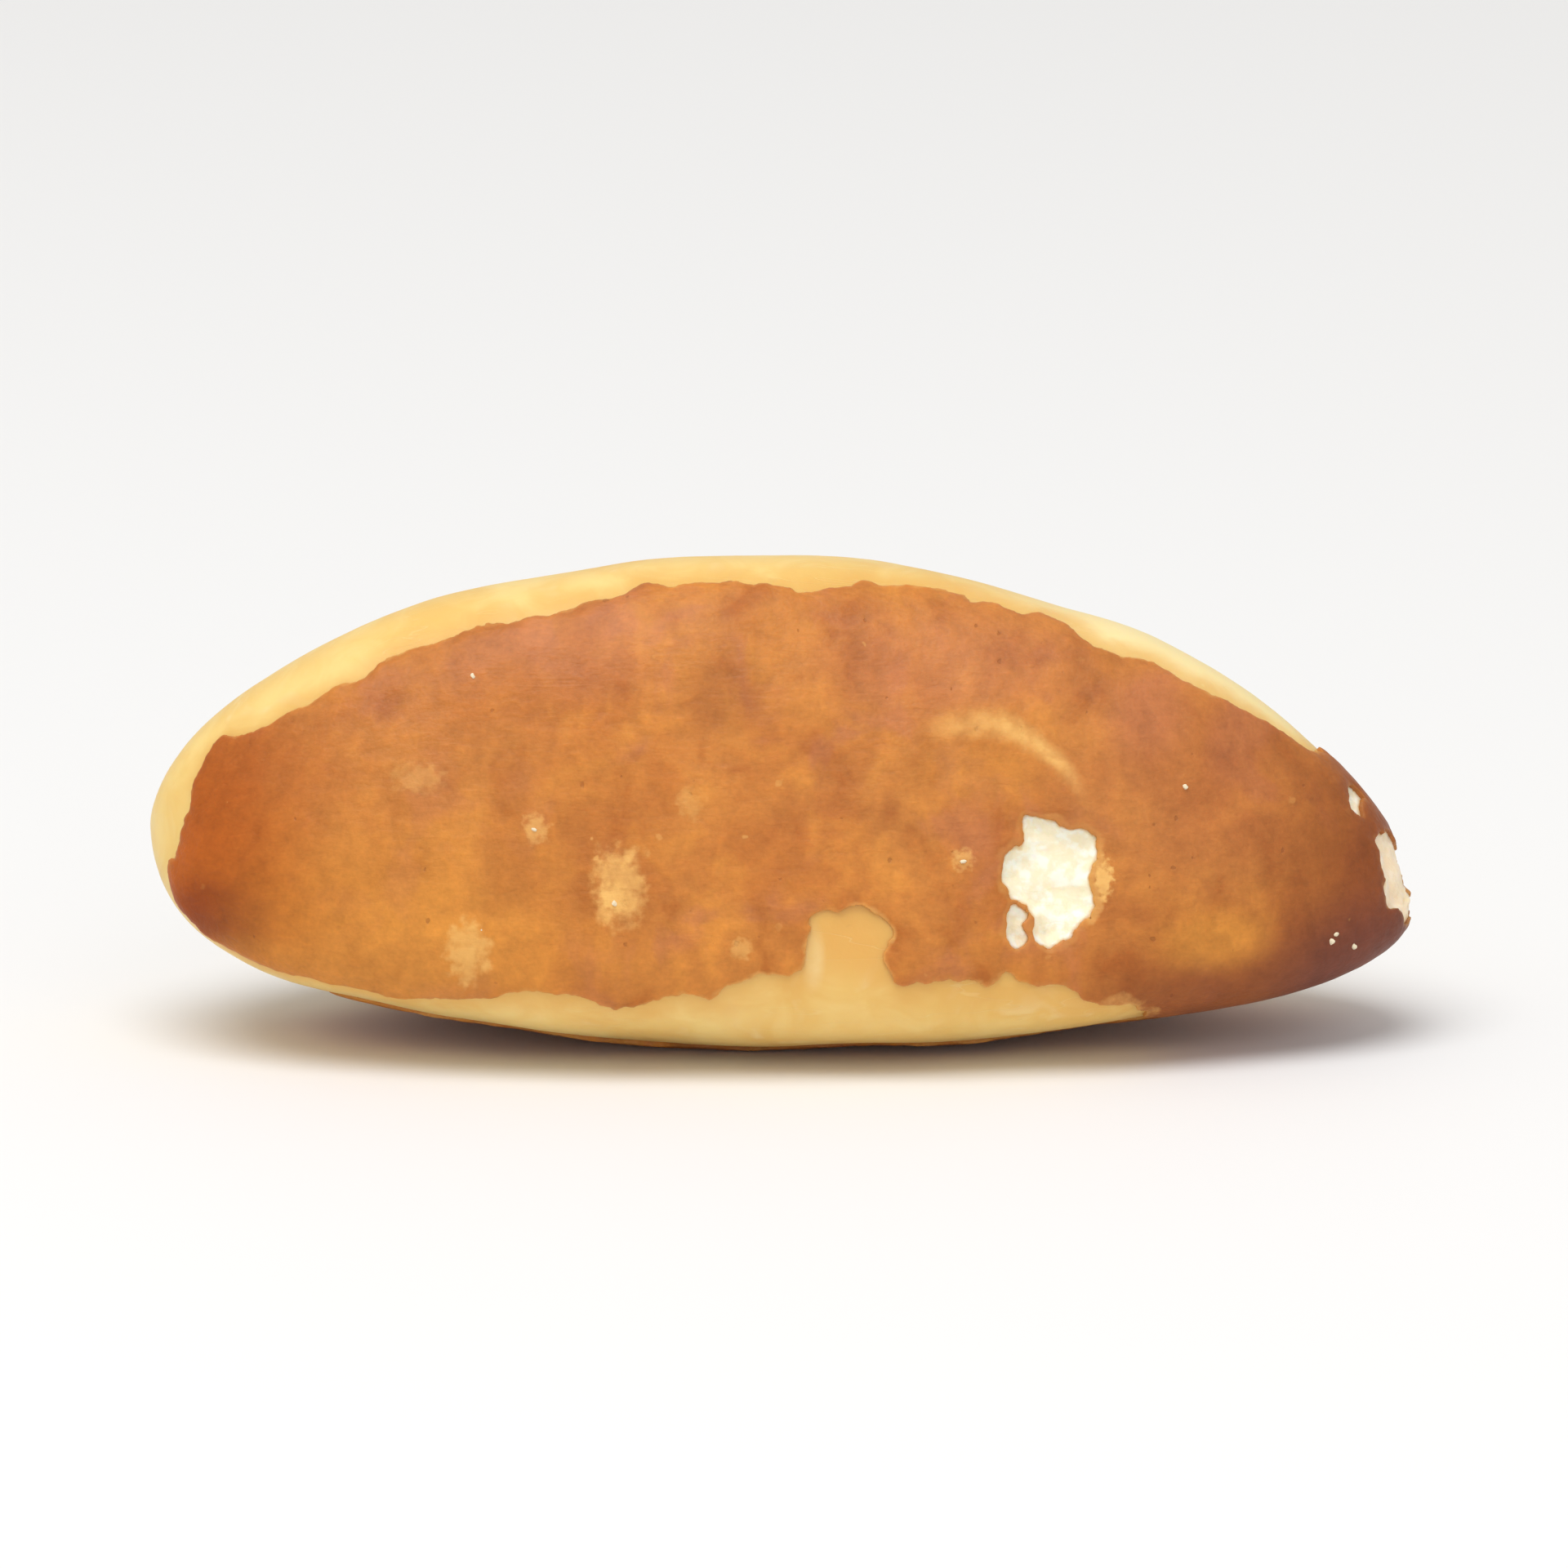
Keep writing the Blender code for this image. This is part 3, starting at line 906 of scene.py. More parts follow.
# Pale, dry areas of the flesh: middle and half sizes in millimetres
CHALKY_PLACES = (
    ((9.5, 6.5, 9.5), (5.5, 4.0, 4.2)),
    ((-12.5, 4.5, 3.4), (3.2, 3.2, 2.2)),
)
# Tints of the waxy flesh and of the dry flesh: middle and half sizes, tint and strength
FLESH_TINTS = (
    # paler flesh along the right of the top rim, partly painted light on that side
    ((11.6, -0.8, 11.6), (5.5, 2.6, 3.2), "flesh_pale", 0.75),
    ((2.2, -6.4, 4.9), (1.7, 2.5, 1.3), "flesh_stain", 0.95),
    ((0.95, -6.5, 4.1), (0.28, 1.5, 0.8), "flesh_pale", 0.80),
)
CHALK_TINTS = (((18.4, -0.5, 5.2), (2.0, 3.5, 2.8), "chalk_blush", 0.6),)
# Where the stain beside the skin starts along the nut, and the specks towards the back
STAIN_START = (-18.4, -17.0)
SPECKS_START = (0.5, 4.0)


def flesh_material(colours):
    """Waxy cream flesh with dry pale places, dark specks, fine scratches and white chips."""
    material, nodes, shader, place = shader_nodes("nut_flesh")
    x, y, _ = nodes.parts(place)
    broad = nodes.cloud(place, 6, 2.0, 0.6)
    middle = nodes.cloud(place, 1.7, 3.0, 0.8)
    fine = nodes.cloud(place, 0.45, 4.0)
    grain = nodes.cloud(place, 0.16, 3.0)
    other = nodes.cloud(place + (0.41, 0.23, 0.12), 2.3, 5.0, 0.8)
    paint = Paint(nodes, place, colours, "flesh_light")
    paint.coat(nodes.step(nodes.blend(0.35, broad, middle), 0.38, 0.64), "flesh_deep")
    paint.coat(nodes.step(middle, 0.56, 0.74) * 0.45, "flesh_pale")
    paint.spots(FLESH_TINTS)
    # deeper beside the skin, except at the blunt tip
    near = nodes.step(nodes.total(nodes.painted("covered"), (middle, 1.2)), -0.55, 0.55)
    off_tip = nodes.ramp(x, *STAIN_START)
    paint.coat(near * off_tip * 0.7, "flesh_stain")

    # dry white places and chips
    chalk = 0.0
    for centre, sizes in CHALKY_PLACES:
        chalk = nodes.math("MAXIMUM", chalk, spot(nodes, place, centre, sizes, 0.9, 1.2))
    patchy = nodes.step(nodes.total(other, (fine, 0.3)), 0.50, 0.74)
    chip = nodes.step(nodes.painted("chipped"), -0.06, 0.10)
    white = nodes.math("MAXIMUM", chalk * nodes.blend(patchy, 0.45, 1.0) * 0.8, chip)
    dry = Paint(nodes, place, colours, "chalk")
    dry.coat(nodes.step(fine, 0.62, 0.42), "chalk_shade")
    dry.spots(CHALK_TINTS, 0.5)
    paint.colour = nodes.tint(white, paint.colour, dry.colour)

    # dark specks in clusters, most of them behind, and pale brown freckles
    clusters = nodes.step(nodes.cloud(place, 7, 1.0), 0.40, 0.60)
    specks = dots(nodes, place * (0.62, 1.0, 1.0), 1.6, 0.16, 0.34) * clusters
    to_back = nodes.ramp(y, *SPECKS_START)
    specks = specks * ((1.0 - chip) * nodes.blend(to_back, 0.06, 0.85))
    paint.coat(specks, "speck")
    paint.coat(dots(nodes, place, 3.4, 0.45, 0.35) * 0.30, "flesh_stain", 0.75)

    # fine scratches along the nut
    strokes = nodes.cloud(place * (0.10, 1.0, 1.0), 0.7, 2.0, 0.3) - 0.44
    strokes = nodes.step(nodes.math("ABSOLUTE", strokes), 0.010, 0.0)
    strokes = strokes * nodes.step(broad, 0.45, 0.60)
    paint.coat(strokes * 0.14, "flesh_pale")

    relief = nodes.total(middle, (fine, nodes.blend(white, 0.5, 1.6)),
                         (grain, nodes.blend(white, 0.10, 1.0)), (specks, -0.9), (strokes, -0.2))
    nodes.fill(shader, {
        "Base Color": paint.colour,
        "Roughness": nodes.blend(white, nodes.blend(middle, 0.32, 0.50), 0.85),
        "Normal": nodes.bump(relief, 0.5, 0.05), "Subsurface Weight": 0.35,
        "Subsurface Radius": (1.0, 0.62, 0.30), "Subsurface Scale": 1.1 * MM,
        "IOR": 1.46, "Specular IOR Level": 0.5,
    })
    return material


# Broad tints of the skin: middle and half sizes in millimetres, tint and strength. Those marked
# below paint shade low down and, in part, sheen near the top
SKIN_TINTS = (
    ((-18.2, -3.0, 6.2), (3.1, 6.0, 4.6), "skin_orange", 0.90),
    ((-15.2, -4.2, 5.2), (2.8, 3.5, 1.6), "skin_orange", 0.55),
    ((-15.3, -3.4, 8.2), (1.8, 3.0, 2.2), "skin_orange", 0.40),
    ((-15.8, -4.4, 5.0), (1.8, 3.0, 1.2), "skin_orange", 0.75),
    # painted shade, deep red, where the blunt end turns under
    ((-16.5, -3.9, 4.8), (1.6, 3.0, 0.9), "skin_ember", 0.95),
    # painted shade along the lower edge of the blunt end
    ((-15.6, -4.5, 2.0), (3.0, 3.0, 1.1), "skin_dark", 0.30),
    ((-15.6, -4.4, 3.7), (1.5, 2.0, 0.5), "skin_glow", 0.30),
    ((-11.1, -6.0, 4.4), (5.6, 3.5, 2.7), "skin_glow", 0.55),
    ((-9.0, -5.2, 8.8), (3.5, 2.5, 2.0), "skin_glow", 0.25),
    ((-5.6, -5.8, 6.6), (3.2, 3.0, 1.6), "skin_dark", 0.20),
    ((2.8, -5.0, 8.6), (2.6, 3.0, 1.9), "skin_dark", 0.16),
    ((-1.0, 9.0, 9.0), (26.0, 5.5, 9.0), "skin_mauve", 0.60),
    ((-1.0, 9.0, 9.0), (26.0, 5.5, 9.0), "skin_plum", 0.30),
    ((-11.0, -3.5, 9.6), (4.5, 3.0, 2.2), "skin_mauve", 0.15),
    ((-9.0, -3.6, 12.2), (2.4, 2.5, 1.4), "skin_deep", 0.60),
    ((-12.4, -3.6, 9.8), (5.5, 3.0, 3.2), "skin_dark", 0.10),
    ((-1.6, -4.0, 11.5), (1.2, 2.0, 1.3), "skin_dark", 0.42),
    # mauve near the top, partly the skin's tone and partly painted sheen
    ((-5.9, -3.4, 12.7), (2.0, 2.5, 1.2), "skin_mauve", 0.40),
    ((2.5, -2.5, 12.4), (0.6, 2.5, 1.8), "skin_dark", 0.22),
    # mauve near the top, partly the skin's tone and partly painted sheen
    ((5.5, -3.5, 12.4), (4.0, 3.0, 1.5), "skin_mauve", 0.50),
    ((6.1, -4.4, 9.7), (2.4, 2.5, 1.3), "skin_glow", 0.40),
    ((10.1, -4.6, 7.2), (1.8, 2.0, 1.5), "skin_glow", 0.30),
    ((9.4, -3.0, 12.0), (1.0, 2.5, 0.9), "skin_dark", 0.36),
    ((11.0, -3.6, 10.8), (1.2, 2.5, 1.1), "skin_mauve", 0.75),
    ((13.3, -3.2, 9.8), (0.6, 2.5, 1.1), "skin_mauve", 0.60),
    ((13.0, -4.0, 8.0), (4.6, 4.0, 3.0), "skin_dark", 0.24),
    ((12.6, -3.6, 9.0), (4.2, 3.5, 3.2), "skin_mauve", 0.32),
    ((16.4, -1.5, 8.5), (1.6, 2.5, 1.0), "skin_dark", 0.30),
    ((10.5, -5.0, 4.7), (1.4, 2.5, 1.2), "skin_dark", 0.16),
    # the dark tip, partly the skin's own colour and partly painted shade
    ((18.7, -1.0, 4.5), (3.9, 6.0, 4.6), "skin_dark", 0.97),
    # darker along the lower right, partly the skin's own tone and partly painted shade
    ((14.2, -4.0, 2.2), (4.6, 5.0, 1.8), "skin_dark", 0.84),
    ((12.8, -4.6, 4.2), (1.6, 2.0, 0.8), "skin_glow", 0.70),
    # painted shade under the tip, next to the floor
    ((17.5, -1.8, 2.8), (2.8, 3.5, 2.0), "skin_plum", 0.95),
)
# Small pale marks where the skin is rubbed thin
RUBBED_MARKS = (
    ((-4.8, -6.1, 6.2), (0.70, 1.2, 1.00), 0.70),
    ((-5.0, -6.1, 5.85), (0.34, 1.2, 0.42), 0.85),
    ((-7.3, -5.6, 7.8), (0.35, 1.0, 0.38), 0.50),
    ((-9.3, -6.2, 4.2), (0.55, 1.2, 0.85), 0.65),
    ((-1.2, -6.5, 4.4), (0.30, 1.0, 0.30), 0.50),
    ((5.4, -5.6, 6.9), (0.28, 1.0, 0.28), 0.55),
    ((9.6, -4.9, 6.1), (0.26, 1.0, 0.55), 1.00),
    ((-10.9, -5.3, 9.2), (0.75, 1.2, 0.40), 0.28),
    ((-2.7, -5.9, 8.6), (0.40, 1.2, 0.40), 0.30),
    ((10.1, -4.9, 2.0), (0.90, 1.0, 0.60), 0.45),
)
# Where the skin's torn rim is broader: middle and half sizes in millimetres
CHIP_RIM = ((8.0, -5.2, 6.6), (2.4, 2.0, 2.7))
# A scratched groove on the upper right, pale with a painted highlight along it, in millimetres: the
# place of its bend, how fast it falls off to the left and right of it, half its width, and where it
# begins, ends and becomes clear
SCRATCH_TOP = (6.0, 0.0, 10.68)
SCRATCH_FALL = (0.03, 0.22)
SCRATCH_WIDTH = 0.576
SCRATCH_ENDS = ((3.7, 5.5), (9.2, 7.9))
SCRATCH_CLEARS = (5.0, 7.3)


def skin_material(colours):
    """Satin brown skin, mottled and fibrous, pale where torn or rubbed, with painted shade and
    highlight.
    """
    material, nodes, shader, place = shader_nodes("nut_skin")
    along = place * (1.15, 1.0, 1.0)
    broad = nodes.cloud(along, 4.5, 3.0, 0.4)
    middle = nodes.cloud(along, 1.7, 4.0, 0.4)
    other = nodes.cloud(along + (0.31, 0.17, 0.23), 2.6, 5.0, 0.5)
    fine = nodes.cloud(place, 0.5, 4.0)
    grain = nodes.cloud(place, 0.13, 2.0)
    threads = nodes.cloud(place * (0.34, 1.0, 1.0), 0.2, 2.0, 0.6)
    wrinkles = nodes.cloud(place * (0.28, 1.0, 1.0), 0.7, 3.0, 0.9)
    paint = Paint(nodes, place, colours, "skin_light")
    for cloud, low, high, strength, name in (
        (broad, 0.36, 0.64, 1.00, "skin_deep"),
        (middle, 0.48, 0.70, 0.42, "skin_glow"),
        (middle, 0.46, 0.30, 0.40, "skin_orange"),
        (other, 0.47, 0.31, 0.60, "skin_mauve"),
        (other, 0.60, 0.74, 0.30, "skin_dark"),
    ):
        paint.coat(nodes.step(cloud, low, high) * strength, name)
    paint.spots(SKIN_TINTS)
    shade = nodes.total(1.0, (threads - 0.5, 0.14), (fine - 0.5, 0.42), (middle - 0.5, 0.45),
                        (grain - 0.5, 0.26))
    paint.colour = nodes.tint(1.0, paint.colour, nodes.join(shade, shade, shade), "MULTIPLY")
    pores = dots(nodes, along, 0.75, 0.10, 0.5) * 0.35
    paint.coat(pores, "skin_dark", 0.7)
    flecks = dots(nodes, place, 0.9, 0.14, 0.4)
    paint.coat(flecks * nodes.blend(nodes.step(broad, 0.42, 0.62), 0.05, 0.45), "skin_rubbed")

    # rubbed marks, the scratched groove with its painted highlight, and the torn rim
    for centre, sizes, strength in RUBBED_MARKS:
        mask = spot(nodes, place, centre, sizes, 0.40, 2.2)
        paint.coat(mask * nodes.blend(fine, 0.25 * strength, 1.7 * strength), "skin_rubbed")
    # a scratched groove in the relief, with a painted highlight along it in the rubbed colour
    scratch_and_highlight = scratch_and_highlight_mask(nodes, place) * nodes.blend(nodes.step(fine, 0.38, 0.62), 0.58, 0.92)
    paint.coat(scratch_and_highlight, "skin_rubbed")
    rim = spot(nodes, place, *CHIP_RIM, 0.3)
    rim = nodes.total(nodes.painted("covered"), (rim, -0.14), (fine, 0.22))
    torn = nodes.step(rim, 0.24, 0.08) * nodes.blend(nodes.step(other, 0.40, 0.60), 0.15, 0.55)
    paint.coat(torn, "skin_rubbed")

    relief = nodes.total(fine, (middle, 1.2), (threads, 0.5), (wrinkles, 1.0), (grain, 0.25),
                         (pores, -1.2), (scratch_and_highlight, -0.8))
    nodes.fill(shader, {
        "Base Color": paint.colour, "Roughness": nodes.blend(other, 0.36, 0.60),
        "Normal": nodes.bump(relief, 0.6, 0.07), "Subsurface Weight": 0.15,
        "Subsurface Radius": (1.0, 0.45, 0.20), "Subsurface Scale": 0.7 * MM,
        "IOR": 1.45, "Specular IOR Level": 0.3,
    })
    return material


def scratch_and_highlight_mask(nodes, place):
    """A thin bowed scratched groove on the front, with a painted highlight along it, faded out at
    both ends.
    """
    x, y, z = nodes.parts(place)
    top_x, _, top_z = in_scene(SCRATCH_TOP)
    aside = x - top_x
    left = nodes.math("MINIMUM", aside, 0.0)
    right = nodes.math("MAXIMUM", aside, 0.0)
    on_left, on_right = (fall / MM for fall in SCRATCH_FALL)
    off = (z - top_z) + nodes.total(left * left * on_left, (right * right, on_right))
    off = nodes.total(off, (nodes.cloud(place, 0.45, 4.0) - 0.5, 0.45 * MM))
    line = nodes.ramp(nodes.math("ABSOLUTE", off), SCRATCH_WIDTH, 0.0)
    for mask in (*(nodes.ramp(x, *ends) for ends in SCRATCH_ENDS), y < 0.0):
        line = line * mask
    return line * nodes.blend(nodes.ramp(x, *SCRATCH_CLEARS), 0.6, 1.0)


def plain_material(name, clouds, detail, first, second, roughness):
    """A dull finish that clouds of a size blend from one linear colour to another."""
    material, nodes, shader, place = shader_nodes(name)
    uneven = nodes.cloud(place, clouds, detail)
    nodes.fill(shader, {"Base Color": nodes.tint(uneven, first, second), "Roughness": roughness})
    return material


# Strewn crumbs: how rare large ones are, and how wide they are. Placed ones: how large they are,
# and how wide and thick. Then the seeds of each draw
STREWN_POWER = 2.5
STREWN_WIDTHS = (0.45, 0.95)
PLACED_SIZES = (0.5, 1.3)
PLACED_SHAPE = (0.75, 0.55)
SPIN_SEED, SIZE_SEED, WIDTH_SEED, LARGE_SEED, ROLL_SEED, YAW_SEED = range(11, 17)


def strewn_tree():
    """Crumbs or flakes on the points of a mesh and strewn over part of another, realized."""
    nodes, given, result = new_tree(
        "nut_strewn", "Geometry", Geometry=("Geometry",), Object=("Ground",), Int=("Seed",),
        Float=("Least Covered", "Most Covered", "Foremost", "Per Square Metre", "Smallest",
               "Largest", "Flatness", "Ragged"), Material=("Material",))
    ground = nodes.get("GeometryNodeObjectInfo", {"Object": given["Ground"]}, "Geometry",
                       transform_space="ORIGINAL")
    place = nodes.place()
    _, y, z = nodes.parts(place)
    covered = nodes.stored("covered")
    wanted = (covered > given["Least Covered"]) * (covered < given["Most Covered"])
    wanted = wanted * (y > given["Foremost"]) * (z > STREWN_ABOVE * MM)
    clumps = nodes.step(nodes.cloud(place, 5, 2.0), 0.42, 0.66)
    spread = nodes.add("GeometryNodeDistributePointsOnFaces", {
        "Mesh": ground, "Density": given["Per Square Metre"] * clumps * wanted,
        "Seed": given["Seed"],
    })
    on_ground, lying = (Value(nodes, spread.outputs[name]) for name in ("Points", "Rotation"))
    placed = nodes.get("GeometryNodeMeshToPoints", {"Mesh": given["Geometry"]})
    crumb = nodes.get("GeometryNodeMeshIcoSphere", {"Radius": 1.0, "Subdivisions": 2})

    # strewn ones of all sizes lie flat, and placed ones are large and turned any way
    pick = nodes.random(0.0, 1.0, SIZE_SEED) ** STREWN_POWER
    size = nodes.blend(pick, given["Smallest"], given["Largest"])
    shape = nodes.join(size, size * nodes.random(*STREWN_WIDTHS, WIDTH_SEED),
                       size * given["Flatness"])
    turned = nodes.get("FunctionNodeRotateRotation", {
        "Rotation": lying, "Rotate By": nodes.join(0.0, 0.0, nodes.turn(SPIN_SEED)),
    }, rotation_space="LOCAL")
    large = given["Largest"] * nodes.random(*PLACED_SIZES, LARGE_SEED)
    any_way = nodes.join(nodes.turn(ROLL_SEED), 0.0, nodes.turn(YAW_SEED))
    crumbs = nodes.add("GeometryNodeJoinGeometry")
    for points, rotation, scale in (
        (on_ground, turned, shape),
        (placed, any_way, nodes.join(large, *(large * part for part in PLACED_SHAPE))),
    ):
        nodes.feed(crumbs.inputs[0], nodes.get("GeometryNodeInstanceOnPoints", {
            "Points": points, "Instance": crumb, "Rotation": rotation, "Scale": scale}))
    jitter = nodes.cloud(place, 0.09, 2.0, output="Color") - (0.5, 0.5, 0.5)
    crumbs = nodes.moved(nodes.realized(Value(nodes, crumbs.outputs[0])),
                         Offset=jitter * given["Ragged"])
    return nodes.finished(result, crumbs, given["Material"])


def strewn_object(name, ground, places, look, colour, roughness, per_square_cm, **values):
    """Crumbs of one colour at some places on the ground, and strewn over it."""
    material = plain_material(look, 0.3, 3.0, linear(colour), linear(colour, 0.7), roughness)
    ground = bpy.data.objects[ground]
    points = [ground.closest_point_on_mesh(Vector(in_scene(place)))[1] for place in places]
    thing = new_object(name)
    thing.data.from_pydata(points, [], [])
    use_tree(thing, strewn_tree(), ground=ground, material=material,
             per_square_metre=per_square_cm * PER_SQUARE_CM, **values)
    made_plain(thing, material)
    thing.data.shade_flat()
    return thing


class NUT_OT_flakes(bpy.types.Operator):
    """Strew small flakes of torn skin over the bare flesh"""

    bl_idname = "nut.flakes"
    bl_label = "Skin Flakes"

    def execute(self, context):
        scene = context.scene
        piece = strewn_object(
            "skin_flakes", "kernel_flesh", (), "nut_flake", scene.nut_colours.skin_mauve, 0.5,
            scene.nut_shape.flakes, least_covered=0.1 - FAR, most_covered=-0.3, seed=4,
            smallest=0.05 * MM, largest=0.20 * MM, flatness=0.22, ragged=0.12 * MM,
            foremost=0.5 * MM)
        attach(piece, BODY)
        return {"FINISHED"}


# Crumbs that stand out on the front, in millimetres
CRUMB_PLACES = (
    (12.10, -3.85, 8.70), (16.50, -3.30, 3.80), (16.66, -3.20, 4.00), (17.20, -2.80, 3.50),
    (5.44, -6.00, 6.90), (-4.95, -6.60, 5.75), (-7.34, -5.95, 7.85),
)


class NUT_OT_crumbs(bpy.types.Operator):
    """Strew chalky crumbs of flesh over the skin"""

    bl_idname = "nut.crumbs"
    bl_label = "Chalk Crumbs"

    def execute(self, context):
        scene = context.scene
        piece = strewn_object(
            "chalk_crumbs", "kernel_skin", CRUMB_PLACES, "nut_crumb",
            scene.nut_colours.chalk_shade, 0.8, scene.nut_shape.crumbs, least_covered=0.15,
            most_covered=FAR - 0.1, seed=9, smallest=0.02 * MM, largest=0.10 * MM, flatness=0.6,
            ragged=0.10 * MM, foremost=-10 * MM)
        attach(piece, BODY)
        return {"FINISHED"}


class NUT_OT_stage(bpy.types.Operator):
    """Lay the pale floor and set up the soft light and the camera"""

    bl_idname = "nut.stage"
    bl_label = "Stage"

    def execute(self, context):
        scene = context.scene
        stage = scene.nut_stage
        bpy.ops.mesh.primitive_circle_add(vertices=96, radius=stage.floor_radius, fill_type="NGON",
                                          location=(0.0, 0.0, -FLOOR_GAP * MM))
        floor = context.object
        floor.name = "floor"
        first, second = (linear((grey,) * 3) for grey in FLOOR_GREYS)
        floor.data.materials.append(plain_material("pale_floor", 250, 2.0, first, second, 0.7))

        world = bpy.data.worlds.new("soft_room")
        world.use_nodes = True
        Nodes(world.node_tree).fill(world.node_tree.nodes["Background"], {
            "Color": linear(ROOM_COLOUR), "Strength": stage.room_light})
        scene.world = world
        for (name, size, place), power in zip(LAMPS, (stage.top_power, stage.front_power)):
            light = bpy.data.lights.new(name, "AREA")
            light.shape = "DISK"
            light.size = size
            light.energy = power
            aimed(new_object(name, light), Vector(place), -Vector(place))

        low, high = (Vector(corner) for corner in CAD_BOX)
        rise = stage.camera_elevation
        away = Vector((0.0, -math.cos(rise), math.sin(rise)))
        camera = bpy.data.cameras.new("camera")
        camera.sensor_width = 36.0
        camera.lens = camera.sensor_width * stage.camera_distance / stage.view_width
        camera.clip_start = 0.01
        camera.clip_end = 10.0
        place = (low + high) / 2 + away * stage.camera_distance
        scene.camera = aimed(new_object("camera", camera), place, -away)
        scene.view_settings.view_transform = "Standard"
        return {"FINISHED"}


def aimed(thing, place, way):
    """Puts a lamp or a camera at a place in metres, and turns it to look some way."""
    thing.location = place
    thing.rotation_euler = way.to_track_quat("-Z", "Y").to_euler()
    return thing


def number_property(name, value, description, **more):
    """A number that isn't below nothing."""
    return FloatProperty(name=name, description=description, default=value,
                         **{"min": 0.0, **more})


def size_property(name, value, description):
    """A size in metres, from millimetres."""
    return number_property(name, value * MM, description, subtype="DISTANCE", unit="LENGTH",
                           precision=5)


def reach_property(side, way):
    """How far one side lies from the line of the tips."""
    return size_property(side + " Reach", REACHES[side][0],
                         f"How far the {side.lower()} lies {way} the line of the tips")


def colour_property(name, value, description):
    """A linear colour."""
    return FloatVectorProperty(name=name, description=description, default=value, size=3,
                               min=0.0, max=1.0, subtype="COLOR")


class NutShape(bpy.types.PropertyGroup):
    """Sizes of the kernel and of what lies on it."""

    length: size_property("Length", LENGTH, "Length from tip to tip")
    top_reach: reach_property("Top", "above")
    bottom_reach: reach_property("Bottom", "below")
    front_reach: reach_property("Front", "before")
    back_reach: reach_property("Back", "behind")
    edge_power: number_property("Edge Power", EDGE_POWER, "Sharpness of the three long edges",
                                min=2.0)
    fine_relief: size_property("Fine Relief", 0.07, "Height of the flesh's unevenness")
    skin_thickness: size_property("Skin Thickness", 0.17, "How far the skin stands proud")
    quads_along: IntProperty(name="Quads Along", default=110, min=12,
                             description="Quads along the kernel")
    quads_across: IntProperty(name="Quads Across", default=54, min=8,
                              description="Quads across each of its four sides")
    flakes: number_property("Flakes", 14.0, "Skin flakes on each square centimetre of a clump")
    crumbs: number_property("Crumbs", 6.0, "Chalk crumbs on each square centimetre of a clump")


class NutColours(bpy.types.PropertyGroup):
    """Colours of the flesh and the skin."""

    flesh_light: colour_property("Flesh Light", (0.86, 0.63, 0.23), "Palest waxy flesh")
    flesh_deep: colour_property("Flesh Deep", (0.79, 0.50, 0.135), "Deepest flesh")
    # Also, in part, painted light on the right of the top rim
    flesh_pale: colour_property("Flesh Pale", (0.90, 0.76, 0.40), "Pale clouds in the flesh")
    flesh_stain: colour_property("Flesh Stain", (0.74, 0.40, 0.090), "Flesh beside the skin")
    chalk: colour_property("Chalk", (0.98, 0.95, 0.80), "Dry white flesh")
    chalk_shade: colour_property("Chalk Shade", (0.94, 0.83, 0.59), "Hollows in dry flesh")
    chalk_blush: colour_property("Chalk Blush", (0.95, 0.68, 0.46), "Pinker flesh at the tip")
    speck: colour_property("Speck", (0.20, 0.085, 0.03), "Dark specks in the flesh")
    skin_light: colour_property("Skin Light", (0.570, 0.206, 0.036), "Paler skin")
    skin_deep: colour_property("Skin Deep", (0.492, 0.158, 0.026), "Deeper skin")
    skin_orange: colour_property("Skin Orange", (0.395, 0.085, 0.005), "Skin of the blunt end")
    skin_glow: colour_property("Skin Glow", (0.65, 0.26, 0.038), "Warm pale skin")
    # Also, in part, painted sheen near the top of the front
    skin_mauve: colour_property("Skin Mauve", (0.475, 0.158, 0.058), "Cool skin near the top")
    # Also painted shade at the tip and low on the right
    skin_dark: colour_property("Skin Dark", (0.25, 0.064, 0.014), "Dark skin")
    # Painted shade, deep red, where the blunt end turns under
    skin_ember: colour_property("Skin Ember", (0.23, 0.032, 0.001), "Reddest skin, low down")
    # Painted shade under the tip; behind, the skin's own colour
    skin_plum: colour_property("Skin Plum", (0.17, 0.046, 0.024), "Darkest skin low down")
    # Also the painted highlight along the scratched groove
    skin_rubbed: colour_property("Skin Rubbed", (0.82, 0.45, 0.13), "Rubbed and torn skin")


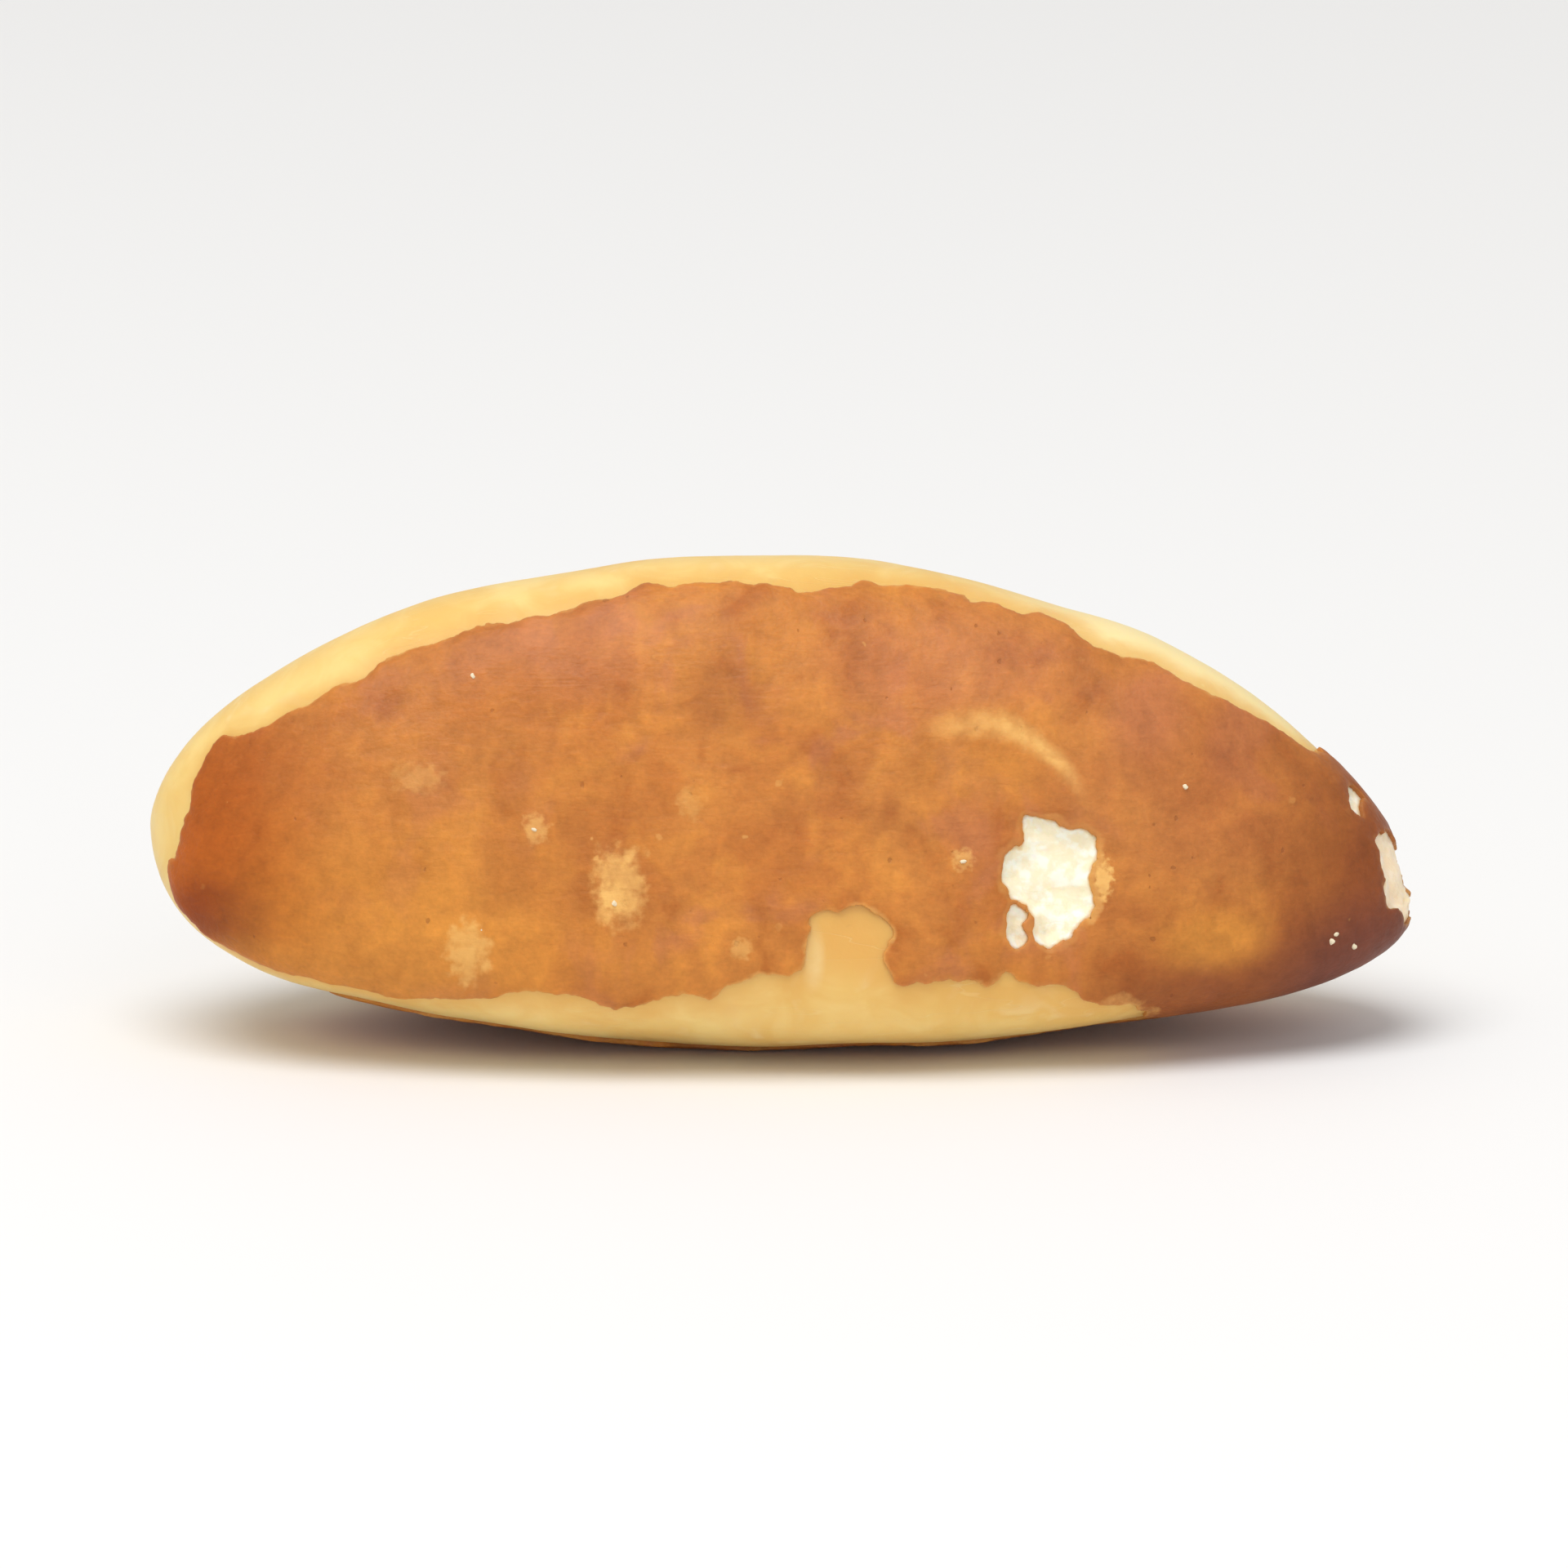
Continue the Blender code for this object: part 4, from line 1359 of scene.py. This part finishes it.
class NutStage(bpy.types.PropertyGroup):
    """Floor, lights and camera."""

    floor_radius: size_property("Floor Radius", 3000.0, "Radius of the floor")
    room_light: number_property("Room Light", 0.57, "Strength of the light from all round")
    top_power: number_property("Top Light", 2.0, "Power of the soft light above",
                               subtype="POWER", unit="POWER")
    front_power: number_property("Front Light", 0.7, "Power of the soft light in front",
                                 subtype="POWER", unit="POWER")
    camera_elevation: number_property("Camera Elevation", math.radians(12.6),
                                      "How far the camera looks down", subtype="ANGLE",
                                      unit="ROTATION", min=-math.pi / 2)
    camera_distance: size_property("Camera Distance", 850.0, "Distance from the kernel")
    view_width: size_property("View Width", 47.0, "Width that the picture takes in")


class NUT_PT_panel(bpy.types.Panel):
    """Sizes, colours and steps of the kernel."""

    bl_label = "Brazil Nut Kernel"
    bl_idname = "NUT_PT_panel"
    bl_space_type = "VIEW_3D"
    bl_region_type = "UI"
    bl_category = "Nut"

    def draw(self, context):
        layout = self.layout
        for group in (getattr(context.scene, name) for name in GROUPS):
            box = layout.box()
            for name in group.__annotations__:
                box.prop(group, name)
        for step in STEPS:
            layout.operator(step.bl_idname)


STEPS = (NUT_OT_flesh, NUT_OT_skin, NUT_OT_flakes, NUT_OT_crumbs, NUT_OT_stage)
GROUPS = {"nut_shape": NutShape, "nut_colours": NutColours, "nut_stage": NutStage}


def register():
    """Registers every class, and hangs the settings on the scene."""
    for one in (*GROUPS.values(), *STEPS, NUT_PT_panel):
        bpy.utils.register_class(one)
    for name, group in GROUPS.items():
        setattr(bpy.types.Scene, name, PointerProperty(type=group))


def unregister():
    """Takes back what register did."""
    for name in GROUPS:
        delattr(bpy.types.Scene, name)
    for one in reversed((*GROUPS.values(), *STEPS, NUT_PT_panel)):
        bpy.utils.unregister_class(one)


def main():
    """Builds every piece and the stage."""
    register()
    bpy.ops.nut.flesh()
    bpy.ops.nut.skin()
    bpy.ops.nut.flakes()
    bpy.ops.nut.crumbs()
    bpy.ops.nut.stage()


if __name__ == "__main__":
    main()
